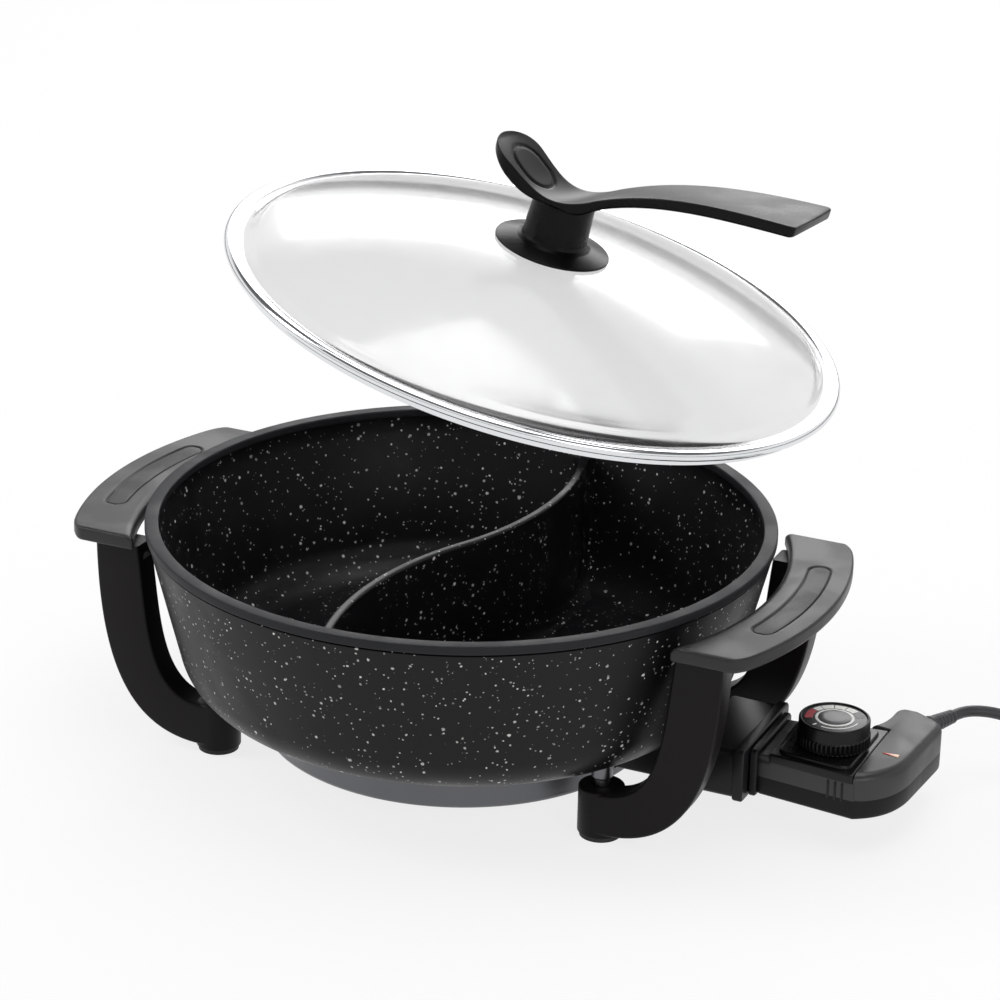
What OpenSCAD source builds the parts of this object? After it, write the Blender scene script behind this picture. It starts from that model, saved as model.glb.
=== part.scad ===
// Electric hot pot: a divided round pot on four legs with two grips, a plug-in
// thermostat control on its cord, and a loose glass lid with a standing handle.
// Millimetres. The origin is on the table, on the pot's axis; +Z is up and +X
// points from the pot to the control.

/* [Pot] */
// Outside diameter of the rim
rim_d = 340; // [330:1:350]
// Width of the flat rim ring
rim_w = 7.6; // [7:0.1:9]
// Height of the rim ring's edge
rim_t = 5; // [4:0.5:7]
// Height of the rim above the table
rim_z = 134; // [130:1:142]
// Wall thickness
wall_t = 5; // [4:0.5:6]
// Lean of the wall, in degrees
wall_lean = 14; // [12:0.5:15]
// Radius between wall and floor, outside
floor_round = 30; // [24:1:34]
// Height of the pot's underside above the table
under_z = 37; // [36:0.5:39]
// Thickness of the pot's floor
floor_t = 5; // [4:0.5:7]

/* [Divider] */
// Thickness of the wall between the two sides
divider_t = 5; // [4:0.5:7]
// How far its top lies below the rim
divider_drop = 19; // [14:1:26]
// Where it crosses the middle line, towards the back
divider_cross_y = 12; // [0:1:20]
// Radius of its two curves
divider_bend = 195; // [180:5:240]
// Width of the bevel on its top edge
divider_bevel = 1.2; // [0.6:0.2:1.8]

/* [Base] */
// How far the base cover's upper edge lies inside the pot's rim
cover_inset = 58; // [56:0.5:60]
// How much narrower the cover is at its foot
cover_taper = 4; // [2:0.5:5]
// Height of the cover's underside above the table
cover_z = 12; // [10.5:0.5:13]
// Sheet thickness of the cover
cover_t = 1.2; // [1:0.1:1.6]
// How far the heating ring lies inside the base cover
heater_inset = 24; // [23:0.5:26]
// Diameter of the heating tube
heater_d = 8; // [7:0.5:8.5]
// Half the distance between the two contact pins
pin_y = 14; // [13:0.5:16]
// Diameter of a contact pin
pin_d = 6; // [5:0.5:6.5]

/* [Legs] */
// How far a foot lies inside the pot's rim, along X
foot_inset_x = 56.5; // [54:0.5:58]
// How far a foot lies inside the pot's rim, along Y
foot_inset_y = 103.5; // [100:0.5:105]
// Diameter of a foot
foot_d = 24.5; // [23:0.5:26]
// Height of a foot's top above the table
foot_h = 29; // [27:0.5:30.5]
// Thickness of a leg, along Y
leg_t = 16; // [14:0.5:18]
// How far a leg stands out beyond the pot's rim, under the grip
leg_stand = 11.5; // [10:0.5:14]
// Width of a leg under the grip
leg_w = 26; // [24:0.5:27]
// Height of a leg's bottom edge beside its foot
leg_low_z = 5; // [4:0.5:6.5]
// Depth of a leg beside its foot
leg_low_h = 24.5; // [23:0.5:25]
// Thickness of the rubber pad under a foot
pad_t = 2.2; // [2:0.2:3]

/* [Grips] */
// Height of a grip's top above the table
grip_z = 123; // [121:0.5:125]
// Thickness of a grip
grip_t = 8; // [7:0.5:9]
// How far a grip's end stands out beyond the legs
grip_over = 6.25; // [3.25:0.5:9.25]
// Gap between the pot's rim and a grip
grip_gap = 6; // [5:0.5:8]
// How far a grip stands out beyond the pot's rim
grip_stand = 41.5; // [39:0.5:44]
// How much larger the radius of a grip's outer edge is than the rim's
grip_bulge = 30; // [20:1:40]
// Width of the border left around a grip's inlay
inlay_border = 11; // [10:0.5:12]
// Distance from a grip's end to its inlay
inlay_end = 34; // [30:1:40]

/* [Socket] */
// Half the width of the socket housing
socket_half = 33.5; // [32:0.5:35]
// Height of the housing's top above the table
socket_top = 46; // [45:0.5:47]
// Height of the housing's bottom above the table
socket_low = 19; // [18.5:0.25:20]
// How far the housing's flange stands out beyond the pot's rim
socket_stand = 9.5; // [8:0.5:11]
// Wall thickness of the housing
socket_wall = 2.5; // [2:0.25:3]

/* [Control] */
// Height of the contacts and the feeler above the table
axis_z = 30; // [29.5:0.25:30.5]
// Half the width of the control's faceplate
plate_half = 26.5; // [26:0.5:28]
// Half the width of the control's body at its faceplate
ctl_half = 23; // [22.5:0.5:24.5]
// How much wider the body gets on each side towards its far end
ctl_flare = 6; // [4:0.5:7]
// Length of the control, from the socket to its far end
ctl_len = 81; // [79:0.5:84]
// Height of the control
ctl_h = 26; // [25:0.25:26.5]
// Radius along the control's top edge
ctl_round = 4; // [2:0.5:4]
// Distance of the cord outlet's far side from the control's middle
outlet_y = 64.5; // [62:0.5:66]
// Slant of the cord where it leaves, in degrees
outlet_turn = 24; // [20:1:28]
// Wall thickness of the control's shells
ctl_wall = 2.2; // [2:0.1:2.6]
// Distance of the dial's axis from the control's far end
dial_back = 44.5; // [44:0.5:45.5]
// Diameter of the dial
dial_d = 38.6; // [37:0.2:40]
// Height of the dial's top above the table
dial_top = 61.5; // [59:0.5:64]
// Number of grip flutes around the dial
dial_flutes = 36; // [24:1:48]
// Diameter of the dial's shaft
shaft_d = 6; // [5:0.5:6.5]
// Diameter of the feeler rod
feeler_d = 8; // [7:0.5:8.5]
// Length of the feeler rod beyond the control's face
feeler_len = 113; // [108:1:114]

/* [Lid] */
// How far the lid's rim lies inside the pot's rim
lid_inset = 4; // [3:0.25:4.5]
// Height of the lid's rim band
band_h = 5; // [4.6:0.2:6]
// Thickness of the rim's sheet
band_t = 0.8; // [0.6:0.1:1]
// Height of the dome above the rim's middle
dome_h = 35; // [32:0.5:40]
// How far inside the lid's edge the dome turns down into its shoulder
shoulder_inset = 17; // [16:0.5:19]
// Height of the shoulder
shoulder_h = 4.5; // [4:0.25:5.5]
// How far the lid is lifted and tilted at rest, in degrees
lid_tilt = 13.93; // [0:0.01:13.93]
// How far the lifted lid's tilt is turned from the grips' line, in degrees
lid_swing = 9.56; // [0:0.02:10]
// Radius of the disc under the handle
disc_r = 30.5; // [28:0.5:32]
// Radius of the handle's post
post_r = 17.3; // [16.5:0.1:18]
// Height of the valley between thumb rest and arm, above the rim's middle
valley_z = 65; // [63:0.5:67]
// Height of the arm's tip above the rim's middle
tip_z = 106; // [103:0.5:109]
// How far the arm's tip stays inside the lid's edge
arm_inset = 35; // [32:0.5:40]
// Width of the arm at its tip
tip_w = 49; // [46:0.5:51]
// Width of the thumb rest
thumb_w = 38.5; // [36:0.5:40]
// How far the handle is turned on the lid, in degrees
handle_turn = -13.3; // [-16:0.1:-10]

/* [Cord] */
// Diameter of the cord
cord_d = 6.2; // [5.8:0.1:6.4]
// Length of the strain relief
relief_len = 20; // [20:1:24]
// Turns in the coil, a quarter turn over a whole number
coil_turns = 4.25; // [3.25:1:5.25]
// Radius of the coil's outermost turn, at the cord's middle
coil_r = 40.5; // [40:0.5:42]

/* [Hidden] */
$fn = 96;
eps = 0.01;
fit = 0.3;                    // gap between fixed pieces that slip together
slide_fit = 0.08;             // radial gap of a pin in its bore
screw_fit = 0.1;              // radial gap of a screw in its hole
cut = 40;                     // length of a cut that runs out of a piece

rim_r = rim_d / 2;
rim_in_r = rim_r - rim_w;
wall_top_z = rim_z - rim_t;
wall_out_r = rim_r - 1;
floor_z = under_z + floor_t;
cover_r = rim_r - cover_inset;
heater_r = cover_r - heater_inset;
foot_x = rim_r - foot_inset_x;
foot_y = rim_r - foot_inset_y;
leg_out_x = rim_r + leg_stand;
grip_reach = rim_r + grip_stand;
grip_out_r = rim_r + grip_bulge;
socket_end = rim_r + socket_stand;
divider_top = rim_z - divider_drop;
bevel_steps = 3;

heater_fit = fit + heater_d / 2;
heater_z = under_z - heater_fit + fit;
heater_bed_w = heater_d + 8;
heater_gap = asin(pin_y / heater_r);
cold_start_x = heater_r * cos(heater_gap) - heater_d / 2 - 0.3;
cold_end_x = heater_r + 16;
pin_len = 56;
pin_t = 3;
sleeve_r = pin_d / 2 + 2;
feeler_tip_x = socket_end + 0.5 - feeler_len;
well_start_x = feeler_tip_x - 4;
tunnel_x = heater_r + 9;
tunnel_half = 28;
tunnel_top = under_z - 0.4;
housing_x = socket_end - 32.5;
flange_t = 5.5;
cover_foot_r = cover_r - cover_taper;
cover_round = 4;
boss_r = 3.5;
boss_x = tunnel_x + 2.5;
cover_boss_x = -60;
cover_screw_r = 1.6;

post_x_r = 4.3;
cup_depth = 5;
leg_face_y = foot_y + foot_d / 2;
leg_in_y = leg_face_y - leg_t;
grip_half = leg_face_y + grip_over;
inlay_half = grip_half - inlay_end;
grip_low = grip_z - grip_t;
grip_in_r = rim_r + grip_gap;
grip_out_c = grip_reach - grip_out_r;
inlay_t = 1.4;
tenon = [12, 9, 16];
tenon_x = leg_out_x - leg_w / 2 - 2;
tenon_y = leg_in_y + leg_t / 2;
tenon_screw_z = grip_low - 9;

ctl_x = socket_end + 0.5;
plate_t = 4;
shell_x = ctl_x + plate_t;
ctl_end = ctl_x + ctl_len;
dial_x = ctl_end - dial_back;
ctl_low = socket_low;
ctl_top = ctl_low + ctl_h;
split_z = axis_z;
deck_x = ctl_x + 10;
deck_end = dial_x + 21;
deck_low = ctl_top - 5;
deck_top = ctl_top + 1.8;
deck_lap = 1.2;
neck_top = ctl_top - 2;
kink_x = ctl_end - 22.5;
kink_y = ctl_half + ctl_flare;
outlet_x = ctl_end - 29;
bevel_turn = 30.5;            // slant of the corner that the cord leaves by
cord_x = ctl_end - 11;
cord_y = outlet_y - 5.8;
cord_z = ctl_low + 19;
relief_neck_r = cord_d / 2 + 0.6;
relief_flange_r = cord_d / 2 + 1.5;
ctl_posts = [[shell_x + 18, 4 - ctl_half], [shell_x + 18, ctl_half - 4],
  [ctl_end - 17, 12 - kink_y], [ctl_end - 20.5, outlet_y - 22]];
post_fix_r = 3.4;
lens_at = [ctl_end - 13.5, 3];

seat_gap = 0.2;
seat_z = rim_z + seat_gap + band_h / 2;
lid_axis = [rim_r + 343.4, 44.5]; // far axis about which the lid lifts and tilts
lid_r = rim_r - lid_inset;
shoulder_r = lid_r - shoulder_inset;
arm_reach = lid_r - arm_inset;
glass_t = band_h - 2 * band_t;
glass_edge_r = lid_r - band_t - 0.2;
lip_r = rim_in_r - 2;
rim_fold = 7;
lip_h = 4;
dome_drop = dome_h - glass_t / 2 - shoulder_h;
dome_ball = (shoulder_r * shoulder_r + dome_drop * dome_drop) / (2 * dome_drop);
glass_hole_r = 4;
lid_screw_r = 2.5;
disc_low = dome_h + 0.1;
disc_h = 4;
post_top = valley_z - 5;
post_bore_top = valley_z - 9;
thumb_reach = 43.7;
thumb_nose = 14.5;               // how far the thumb rest's round end is drawn out
thumb_slope = 27.5;
thumb_at = [-22, 0, valley_z + 6.7];

cord_r = cord_d / 2;
coil_at = [ctl_end + 91, outlet_y + 10.5];
coil_low_z = cord_r + 0.8;
coil_pitch = cord_d + 0.6;
coil_end_z = coil_low_z + coil_pitch;
outlet_at = [cord_x, cord_y, cord_z];
outlet_dir = [sin(outlet_turn), cos(outlet_turn), 0];
// The cord's free stretch, from the strain relief to the coil, seen from the outlet
route = [for (p = [[14.8, 29.3, -0.3], [20.5, 33.3, -0.9], [27, 36.5, -2.1], [34, 39.3, -4.2],
  [41, 41.8, -7.3], [47.6, 44.1, -11.5], [53.8, 46.5, -16.4], [60, 49.1, -21.4], [66.5, 51.8, -26],
  [73.3, 54.1, -30], [81.3, 56.1, -32.8]]) outlet_at + p];
coil_start = [coil_at[0] - cord_d, coil_at[1] + coil_r, coil_low_z];
plug_at = [coil_at[0] + coil_r, coil_at[1] - cord_d * 2.6, coil_end_z];
plug_half_w = 13;
plug_len = 32;
blade = [1.5, 6.3, 17];
blade_y = 6.35;

// ---- helpers ----

// A point on the cubic curve a, b, c, d at t
function curve_at(p, t) = p[0] * pow(1 - t, 3) + 3 * p[1] * t * pow(1 - t, 2)
  + 3 * p[2] * t * t * (1 - t) + p[3] * t * t * t;
// The cubic curve as n steps
function curve(p, n = 12) = [for (i = [0:n]) curve_at(p, i / n)];
function reversed(v) = [for (i = [len(v) - 1:-1:0]) v[i]];

// A bar of a round section along X, from x = a to x = b
module bar_x(a, b, r, y = 0, z = 0) {
  translate([a, y, z]) rotate([0, 90, 0]) cylinder(r = r, h = b - a);
}

// A box from its lowest to its highest corner
module box(a, b) {
  translate(a) cube(b - a);
}

// Children repeated at the four feet
module at_feet() {
  for (sx = [-1, 1], sy = [-1, 1]) translate([sx * foot_x, sy * foot_y, 0]) children();
}

// ---- pot ----

// Profile from the axis: flat floor, round corner, leaning wall up to z_top
function bowl(r_top, z_top, z_floor, r_round) =
  let (z_t = z_floor + r_round * (1 - sin(wall_lean)),
    r_c = r_top - (z_top - z_t) * tan(wall_lean) - r_round * cos(wall_lean))
  concat([[0, z_floor]],
    [for (i = [0:10]) let (a = i * (90 - wall_lean) / 10)
      [r_c + r_round * sin(a), z_floor + r_round * (1 - cos(a))]],
    [[r_top, z_top]]);

module pot_solid() {
  rotate_extrude($fn = 180) polygon(concat(
    bowl(wall_out_r, wall_top_z, under_z, floor_round), [[0, wall_top_z]]));
  rotate_extrude($fn = 180) polygon([[0, wall_top_z - eps], [wall_out_r - 0.4, wall_top_z - eps],
    [rim_r, wall_top_z + 0.8], [rim_r, rim_z - 0.8], [rim_r - 0.8, rim_z], [0, rim_z]]);
}

module pot_cavity(grow = 0) {
  rotate_extrude($fn = 180) polygon(concat(
    bowl(wall_out_r - wall_t + grow, wall_top_z, floor_z - grow, floor_round - wall_t),
    [[0, wall_top_z]]));
}

// S-shaped band made of two arcs that meet on the middle line
module divider_plan(shrink = 0) {
  reach = rim_r;
  front_half = (reach + divider_cross_y) / 2;
  back_half = (reach - divider_cross_y) / 2;
  for (side = [[-1, front_half, divider_cross_y - front_half],
      [1, back_half, divider_cross_y + back_half]]) {
    off = sqrt(divider_bend * divider_bend - side[1] * side[1]);
    intersection() {
      translate([-side[0] * off, side[2]]) difference() {
        circle(r = divider_bend + divider_t / 2 - shrink, $fn = 240);
        circle(r = divider_bend - divider_t / 2 + shrink, $fn = 240);
      }
      translate([-divider_t * 10, side[2] - side[1]]) square([divider_t * 20, side[1] * 2]);
    }
  }
}

module divider() {
  step = divider_bevel / bevel_steps;
  intersection() {
    union() {
      translate([0, 0, under_z + 1])
        linear_extrude(divider_top - divider_bevel - under_z - 1) divider_plan();
      for (i = [1:bevel_steps]) translate([0, 0, divider_top - divider_bevel + (i - 1) * step - eps])
        linear_extrude(step + eps) divider_plan(i * step);
    }
    pot_cavity(1);
  }
}

// Ring under the floor that the heating tube is cast into, and the feeler's well
module heater_bed() {
  low = heater_z - heater_d / 2 + 0.5;
  bar_x(well_start_x, heater_r + heater_bed_w / 2, feeler_d, 0, axis_z);
  difference() {
    translate([0, 0, low]) linear_extrude(under_z - low + 1) difference() {
      circle(r = heater_r + heater_bed_w / 2);
      circle(r = heater_r - heater_bed_w / 2);
    }
    rotate_extrude() translate([heater_r, 0]) {
      translate([0, heater_z]) circle(r = heater_fit, $fn = 32);
      translate([-heater_fit, 0]) square([heater_fit * 2, heater_z]);
    }
  }
}

module pot_body() color("#26262a") {
  difference() {
    union() {
      difference() {
        pot_solid();
        pot_cavity();
        translate([0, 0, wall_top_z - 1]) cylinder(r1 = wall_out_r - wall_t,
          r2 = rim_in_r, h = 2, $fn = 180);
        translate([0, 0, wall_top_z]) cylinder(r = rim_in_r, h = cut, $fn = 180);
      }
      divider();
      heater_bed();
      at_feet() translate([0, 0, foot_h - cup_depth + fit]) cylinder(r = post_x_r, h = 16, $fn = 48);
      cover_bosses(under_z + 1);
    }
    at_feet() translate([0, 0, 0]) cylinder(r = 2 + screw_fit, h = foot_h + 5, $fn = 32);
    for (s = [-1, 1]) bar_x(cold_start_x - fit, cut + heater_r * 2, heater_fit, s * pin_y, heater_z);
    for (s = [-1, 1]) translate([cold_start_x - fit, s * pin_y - heater_fit, 0])
      cube([cut, heater_fit * 2, heater_z]);
    bar_x(feeler_tip_x - 1, cut + heater_r * 2, feeler_d / 2 + slide_fit, 0, axis_z);
    cover_screw_holes();
  }
}

// ---- base ----

// Bosses that hang under the pot and take the cover's screws
module cover_bosses(top) {
  for (s = [-1, 1]) translate([cover_boss_x, s * 45, cover_z + cover_t + fit])
    cylinder(r = boss_r, h = top - cover_z - cover_t - fit, $fn = 48);
}

module cover_screw_holes() {
  for (s = [-1, 1]) translate([cover_boss_x, s * 45, 0])
    cylinder(r = cover_screw_r + screw_fit, h = cover_z + 14, $fn = 32);
}

module cover_profile(d) {
  polygon(concat([[0, cover_z + d], [cover_foot_r - cover_round, cover_z + d]],
    [for (i = [1:6]) let (a = i * 15)
      [cover_foot_r - cover_round + (cover_round - d) * sin(a),
        cover_z + cover_round - (cover_round - d) * cos(a)]],
    [[cover_r - d, under_z - 0.2], [0, under_z - 0.2]]));
}

module base_cover() color("#6c6d72") difference() {
  rotate_extrude($fn = 144) cover_profile(0);
  rotate_extrude($fn = 144) cover_profile(cover_t);
  translate([0, 0, under_z - 0.2 - eps]) cylinder(r = cover_r - cover_t, h = 5);
  box([tunnel_x, -tunnel_half - fit, socket_low - fit], [cover_r + cut, tunnel_half + fit, under_z + 1]);
  cover_screw_holes();
  for (s = [-1, 1]) translate([boss_x, s * pin_y, 0])
    cylinder(r = cover_screw_r + screw_fit, h = cut / 2, $fn = 32);
  // air slots in the cover's floor
  for (a = [0:30:330]) rotate(a + 15) box([36, -2, 0], [62, 2, cover_z + cover_t * 2]);
}

module base_cover_screws() color("#b9bbc0")
  for (p = [[cover_boss_x, 45, cover_z + 13], [cover_boss_x, -45, cover_z + 13],
      [boss_x, pin_y, socket_low + 1], [boss_x, -pin_y, socket_low + 1]])
    translate([p[0], p[1], 0]) {
      translate([0, 0, cover_z - 1.8]) cylinder(r = 3.2, h = 1.8, $fn = 32);
      translate([0, 0, cover_z - eps]) cylinder(r = cover_screw_r, h = p[2] - cover_z, $fn = 24);
    }

module heating_element() color("#8d8f93") {
  rotate([0, 0, heater_gap]) rotate_extrude(angle = 360 - 2 * heater_gap)
    translate([heater_r, heater_z]) circle(d = heater_d, $fn = 32);
  for (s = [-1, 1]) bar_x(cold_start_x, cold_end_x, heater_d / 2, s * pin_y, heater_z);
}

module heater_pins() color("#c9b26a") for (s = [-1, 1]) {
  translate([cold_end_x, s * pin_y, 0]) {
    rotate([0, 90, 0]) translate([-axis_z, 0, 0]) cylinder(d = pin_d, h = pin_len, $fn = 48);
    rotate([0, 90, 0]) translate([-heater_z, 0, 0]) cylinder(d = heater_d, h = pin_t, $fn = 32);
  }
}

// ---- socket housing ----

module socket_housing() color("#1f1f21") difference() {
  union() {
    box([tunnel_x, -tunnel_half, socket_low], [housing_x + 3, tunnel_half, tunnel_top]);
    box([housing_x, -socket_half, socket_low], [socket_end, socket_half, socket_top]);
    box([socket_end - flange_t, -socket_half - 1, socket_low - 1],
      [socket_end, socket_half + 1, socket_top + 1.6]);
    for (s = [-1, 1]) translate([boss_x, s * pin_y, cover_z + cover_t])
      cylinder(r = boss_r, h = socket_low - cover_z, $fn = 48);
  }
  box([tunnel_x + socket_wall, -tunnel_half + socket_wall + 2, socket_low + socket_wall],
    [socket_end + 1, tunnel_half - socket_wall - 2, tunnel_top - socket_wall / 2]);
  box([housing_x + socket_wall, -socket_half + socket_wall + 5, socket_low + socket_wall],
    [socket_end + 1, socket_half - socket_wall - 5, socket_top - socket_wall - 1]);
  for (s = [-1, 1]) bar_x(tunnel_x - 1, cold_end_x + pin_t + fit, heater_fit, s * pin_y, heater_z);
  bar_x(tunnel_x - 1, cold_end_x, feeler_d / 2 + fit, 0, axis_z);
  for (s = [-1, 1]) translate([boss_x, s * pin_y, 0])
    cylinder(r = cover_screw_r + screw_fit, h = socket_low + 2, $fn = 32);
}

// ---- legs and grips ----

// Side outline of a leg: two curves from under the grip down to the foot
module leg_plan() {
  polygon(concat(
    curve([[leg_out_x, grip_low], [leg_out_x - 0.5, grip_low * 0.48], [leg_out_x - leg_w * 0.44, leg_low_z + 0.5],
      [foot_x + foot_d / 4, leg_low_z]], 16),
    [[foot_x, leg_low_z], [foot_x, foot_h]],
    reversed(curve([[leg_out_x - leg_w, grip_low], [leg_out_x - leg_w - 5.5, grip_low * 0.61],
      [leg_out_x - leg_w - 3.5, leg_low_z + leg_low_h], [foot_x + 4, leg_low_z + leg_low_h - 1]], 16))));
}

// The leg at +X, +Y
module leg() difference() {
  union() {
    translate([0, leg_face_y, 0]) rotate([90, 0, 0]) linear_extrude(leg_t) leg_plan();
    translate([foot_x, foot_y, pad_t]) cylinder(d = foot_d, h = foot_h - pad_t);
  }
  translate([foot_x, foot_y, 0]) {
    cylinder(r = 5.5, h = 14, $fn = 48);
    cylinder(r = 2 + screw_fit * 2, h = foot_h, $fn = 32);
    translate([0, 0, foot_h - cup_depth]) cylinder(r = post_x_r + fit, h = cut, $fn = 48);
  }
  box([tenon_x - tenon[0] / 2 - fit, tenon_y - tenon[1] / 2 - fit, grip_low - tenon[2] - fit],
    [tenon_x + tenon[0] / 2 + fit, tenon_y + tenon[1] / 2 + fit, grip_low + 1]);
  bar_x(leg_out_x - leg_w - 10, tenon_x, 2 + screw_fit, tenon_y, tenon_screw_z);
  bar_x(leg_out_x - leg_w - 10, leg_out_x - leg_w + 2, 4, tenon_y, tenon_screw_z);
}

module left_front_leg() color("#2b2a2a") mirror([1, 0, 0]) mirror([0, 1, 0]) leg();
module left_rear_leg() color("#2b2a2a") mirror([1, 0, 0]) leg();
module right_front_leg() color("#2b2a2a") mirror([0, 1, 0]) leg();
module right_rear_leg() color("#2b2a2a") leg();

module foot_screws() color("#b9bbc0") at_feet() {
  translate([0, 0, 10.4]) cylinder(r = 4.5, h = 3.6, $fn = 32);
  translate([0, 0, 14 - eps]) cylinder(r = 2, h = foot_h + 4 - 14, $fn = 32);
}

module foot_pads() color("#161616") at_feet() difference() {
  cylinder(r = foot_d / 2 - 1.2, h = pad_t, $fn = 64);
  translate([0, 0, -1]) cylinder(r = 4, h = pad_t + 2, $fn = 48);
}

// Crescent that follows the rim inside and bulges outside, less a border of d
module grip_plan(d = 0, half = grip_half) intersection() {
  difference() {
    translate([grip_out_c, 0]) circle(r = grip_out_r - d, $fn = 240);
    circle(r = grip_in_r + d + (d > 0 ? 1 : 0), $fn = 240);
  }
  polygon([[0, -half], [grip_reach - 22, -half], [grip_reach, -half + 14],
    [grip_reach, half - 14], [grip_reach - 22, half], [0, half]]);
}

// Crescent inlay with round ends
module inlay_plan(d = 0) {
  end_y = inlay_half - 9;
  in_r = grip_in_r + inlay_border + 1;
  out_r = grip_out_r - inlay_border;
  x_in = sqrt(in_r * in_r - end_y * end_y);
  x_out = grip_out_c + sqrt(out_r * out_r - end_y * end_y);
  difference() {
    intersection() {
      translate([grip_out_c, 0]) circle(r = out_r - d, $fn = 240);
      translate([0, -end_y]) square([grip_reach, end_y * 2]);
    }
    circle(r = in_r + d, $fn = 240);
  }
  for (s = [-1, 1]) translate([(x_in + x_out) / 2, s * end_y])
    circle(r = (x_out - x_in) / 2 * cos(12) - d, $fn = 64);
}

// The grip at +X
module grip() difference() {
  union() {
    translate([0, 0, grip_low]) linear_extrude(grip_t - 1) grip_plan();
    translate([0, 0, grip_z - 1 - eps]) linear_extrude(1 + eps) grip_plan(0.8, grip_half - 0.8);
    for (s = [-1, 1]) translate([tenon_x - tenon[0] / 2, s * tenon_y - tenon[1] / 2, grip_low - tenon[2]])
      cube([tenon[0], tenon[1], tenon[2] + 1]);
  }
  translate([0, 0, grip_z - inlay_t - 0.2]) linear_extrude(cut) inlay_plan();
  for (s = [-1, 1]) bar_x(tenon_x - tenon[0], tenon_x + 4, 2 + screw_fit, s * tenon_y, tenon_screw_z);
}

module grip_inlay() translate([0, 0, grip_z - inlay_t - 0.2]) linear_extrude(inlay_t)
  inlay_plan(fit);

module right_grip() color("#303033") grip();
module left_grip() color("#303033") mirror([1, 0, 0]) grip();
module right_grip_inlay() color("#3d3c3e") grip_inlay();
module left_grip_inlay() color("#3d3c3e") mirror([1, 0, 0]) grip_inlay();

module grip_screws() color("#b9bbc0") for (sx = [0, 1], sy = [-1, 1]) mirror([sx, 0, 0]) {
  head_x = leg_out_x - leg_w + 2;
  bar_x(head_x - 3, head_x, 3.6, sy * tenon_y, tenon_screw_z);
  bar_x(head_x - eps, tenon_x + 3, 2, sy * tenon_y, tenon_screw_z);
}

// ---- control ----

function unit(v) = v / norm(v);
function after_first(v) = [for (i = [1:len(v) - 1]) v[i]];
// A closed outline, anticlockwise, moved inwards by d
function shrunk(v, d) = let (n = len(v)) [for (i = [0:n - 1])
  let (a = unit(v[i] - v[(i + n - 1) % n]), b = unit(v[(i + 1) % n] - v[i]),
    na = [-a[1], a[0]], nb = [-b[1], b[0]]) v[i] + d * (na + nb) / (1 + na * nb)];

// The control's body from above: flared sides, a rounded far corner and, at the
// back, the outlet block, whose corner is bevelled where the cord leaves
control_outline = concat([[shell_x, -ctl_half], [kink_x, -kink_y]],
  after_first(curve([[kink_x, -kink_y], [kink_x + 10.5, -kink_y + 6], [ctl_end - 4, -kink_y + 15],
    [ctl_end - 2.4, 4]], 8)),
  curve([[ctl_end, outlet_y - 20], [ctl_end + 0.2, outlet_y - 14], [ctl_end - 1.6, outlet_y - 10.8],
    [ctl_end - 6.2, outlet_y - 8]], 5),
  curve([[cord_x - 5.5, cord_y + 3.3], [cord_x - 6.8, cord_y + 4], [outlet_x + 9.8, outlet_y - 2.4],
    [outlet_x + 8, outlet_y - 2.8]], 2),
  after_first(curve([[outlet_x + 8, outlet_y - 2.8], [outlet_x + 2.6, outlet_y - 3.9],
    [outlet_x + 0.3, outlet_y - 6.3], [outlet_x + 0.3, outlet_y - 11.5]], 4)),
  after_first(curve([[outlet_x + 0.3, outlet_y - 11.5], [outlet_x + 0.3, outlet_y - 21],
    [outlet_x - 1.6, kink_y + 5.6], [outlet_x - 9, kink_y + 0.4]], 8)),
  [[shell_x, ctl_half]]);

module control_plan(d = 0) polygon(shrunk(control_outline, d));

// Half the width of the body at x, between the faceplate and the far corner
function half_at(x) = ctl_half + ctl_flare * (x - shell_x) / (kink_x - shell_x);

module deck_plan(d = 0) polygon([for (p = [[deck_x + d, -1], [deck_end - d, -1], [deck_end - d, 1],
  [deck_x + d, 1]]) [p[0], p[1] * (half_at(p[0]) + deck_lap - d)]]);

// Holes that the feeler rod and the two sleeves pass through
module contact_ways() {
  bar_x(ctl_x - 1, shell_x + ctl_wall + 1, feeler_d / 2 + screw_fit, 0, axis_z);
  for (s = [-1, 1]) bar_x(ctl_x - 1, shell_x + ctl_wall + 1, sleeve_r + screw_fit, s * pin_y, axis_z);
}

module control_faceplate() color("#19191a") difference() {
  box([ctl_x, -plate_half, ctl_low], [shell_x, plate_half, ctl_top + 0.8]);
  contact_ways();
}

module control_posts(low, high) for (p = ctl_posts) translate([p[0], p[1], low])
  cylinder(r = post_fix_r, h = high - low, $fn = 32);

module post_holes(r) for (p = ctl_posts) translate([p[0], p[1], 0])
  cylinder(r = r, h = ctl_low + 20, $fn = 24);

// Places children at the cord outlet, +Z along the cord
module at_outlet() translate(outlet_at) rotate([0, 0, -outlet_turn])
  rotate([-90, 0, 0]) children();

module control_base() color("#232324") difference() {
  union() {
    difference() {
      union() {
        translate([0, 0, ctl_low]) linear_extrude(1.2) control_plan(1);
        translate([0, 0, ctl_low + 1]) linear_extrude(split_z - ctl_low - 1) control_plan();
      }
      translate([0, 0, ctl_low + ctl_wall]) linear_extrude(cut) control_plan(ctl_wall);
    }
    control_posts(ctl_low + 1, split_z);
  }
  post_holes(1.5 + screw_fit);
  contact_ways();
  for (p = ctl_posts) translate([p[0], p[1], 0]) cylinder(r = 2.8, h = ctl_low + 3, $fn = 24);
  grip_grooves();
}

// Three upright grooves in the body's front side
module grip_grooves() for (i = [0:2]) translate([dial_x + 9 + i * 4, 0, ctl_low + 3])
  rotate([0, 0, -atan(ctl_flare / (kink_x - shell_x))])
    translate([0, -half_at(dial_x + 9 + i * 4) - 2, 0]) cube([1.2, 2.6, deck_low - ctl_low - 4]);

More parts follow.
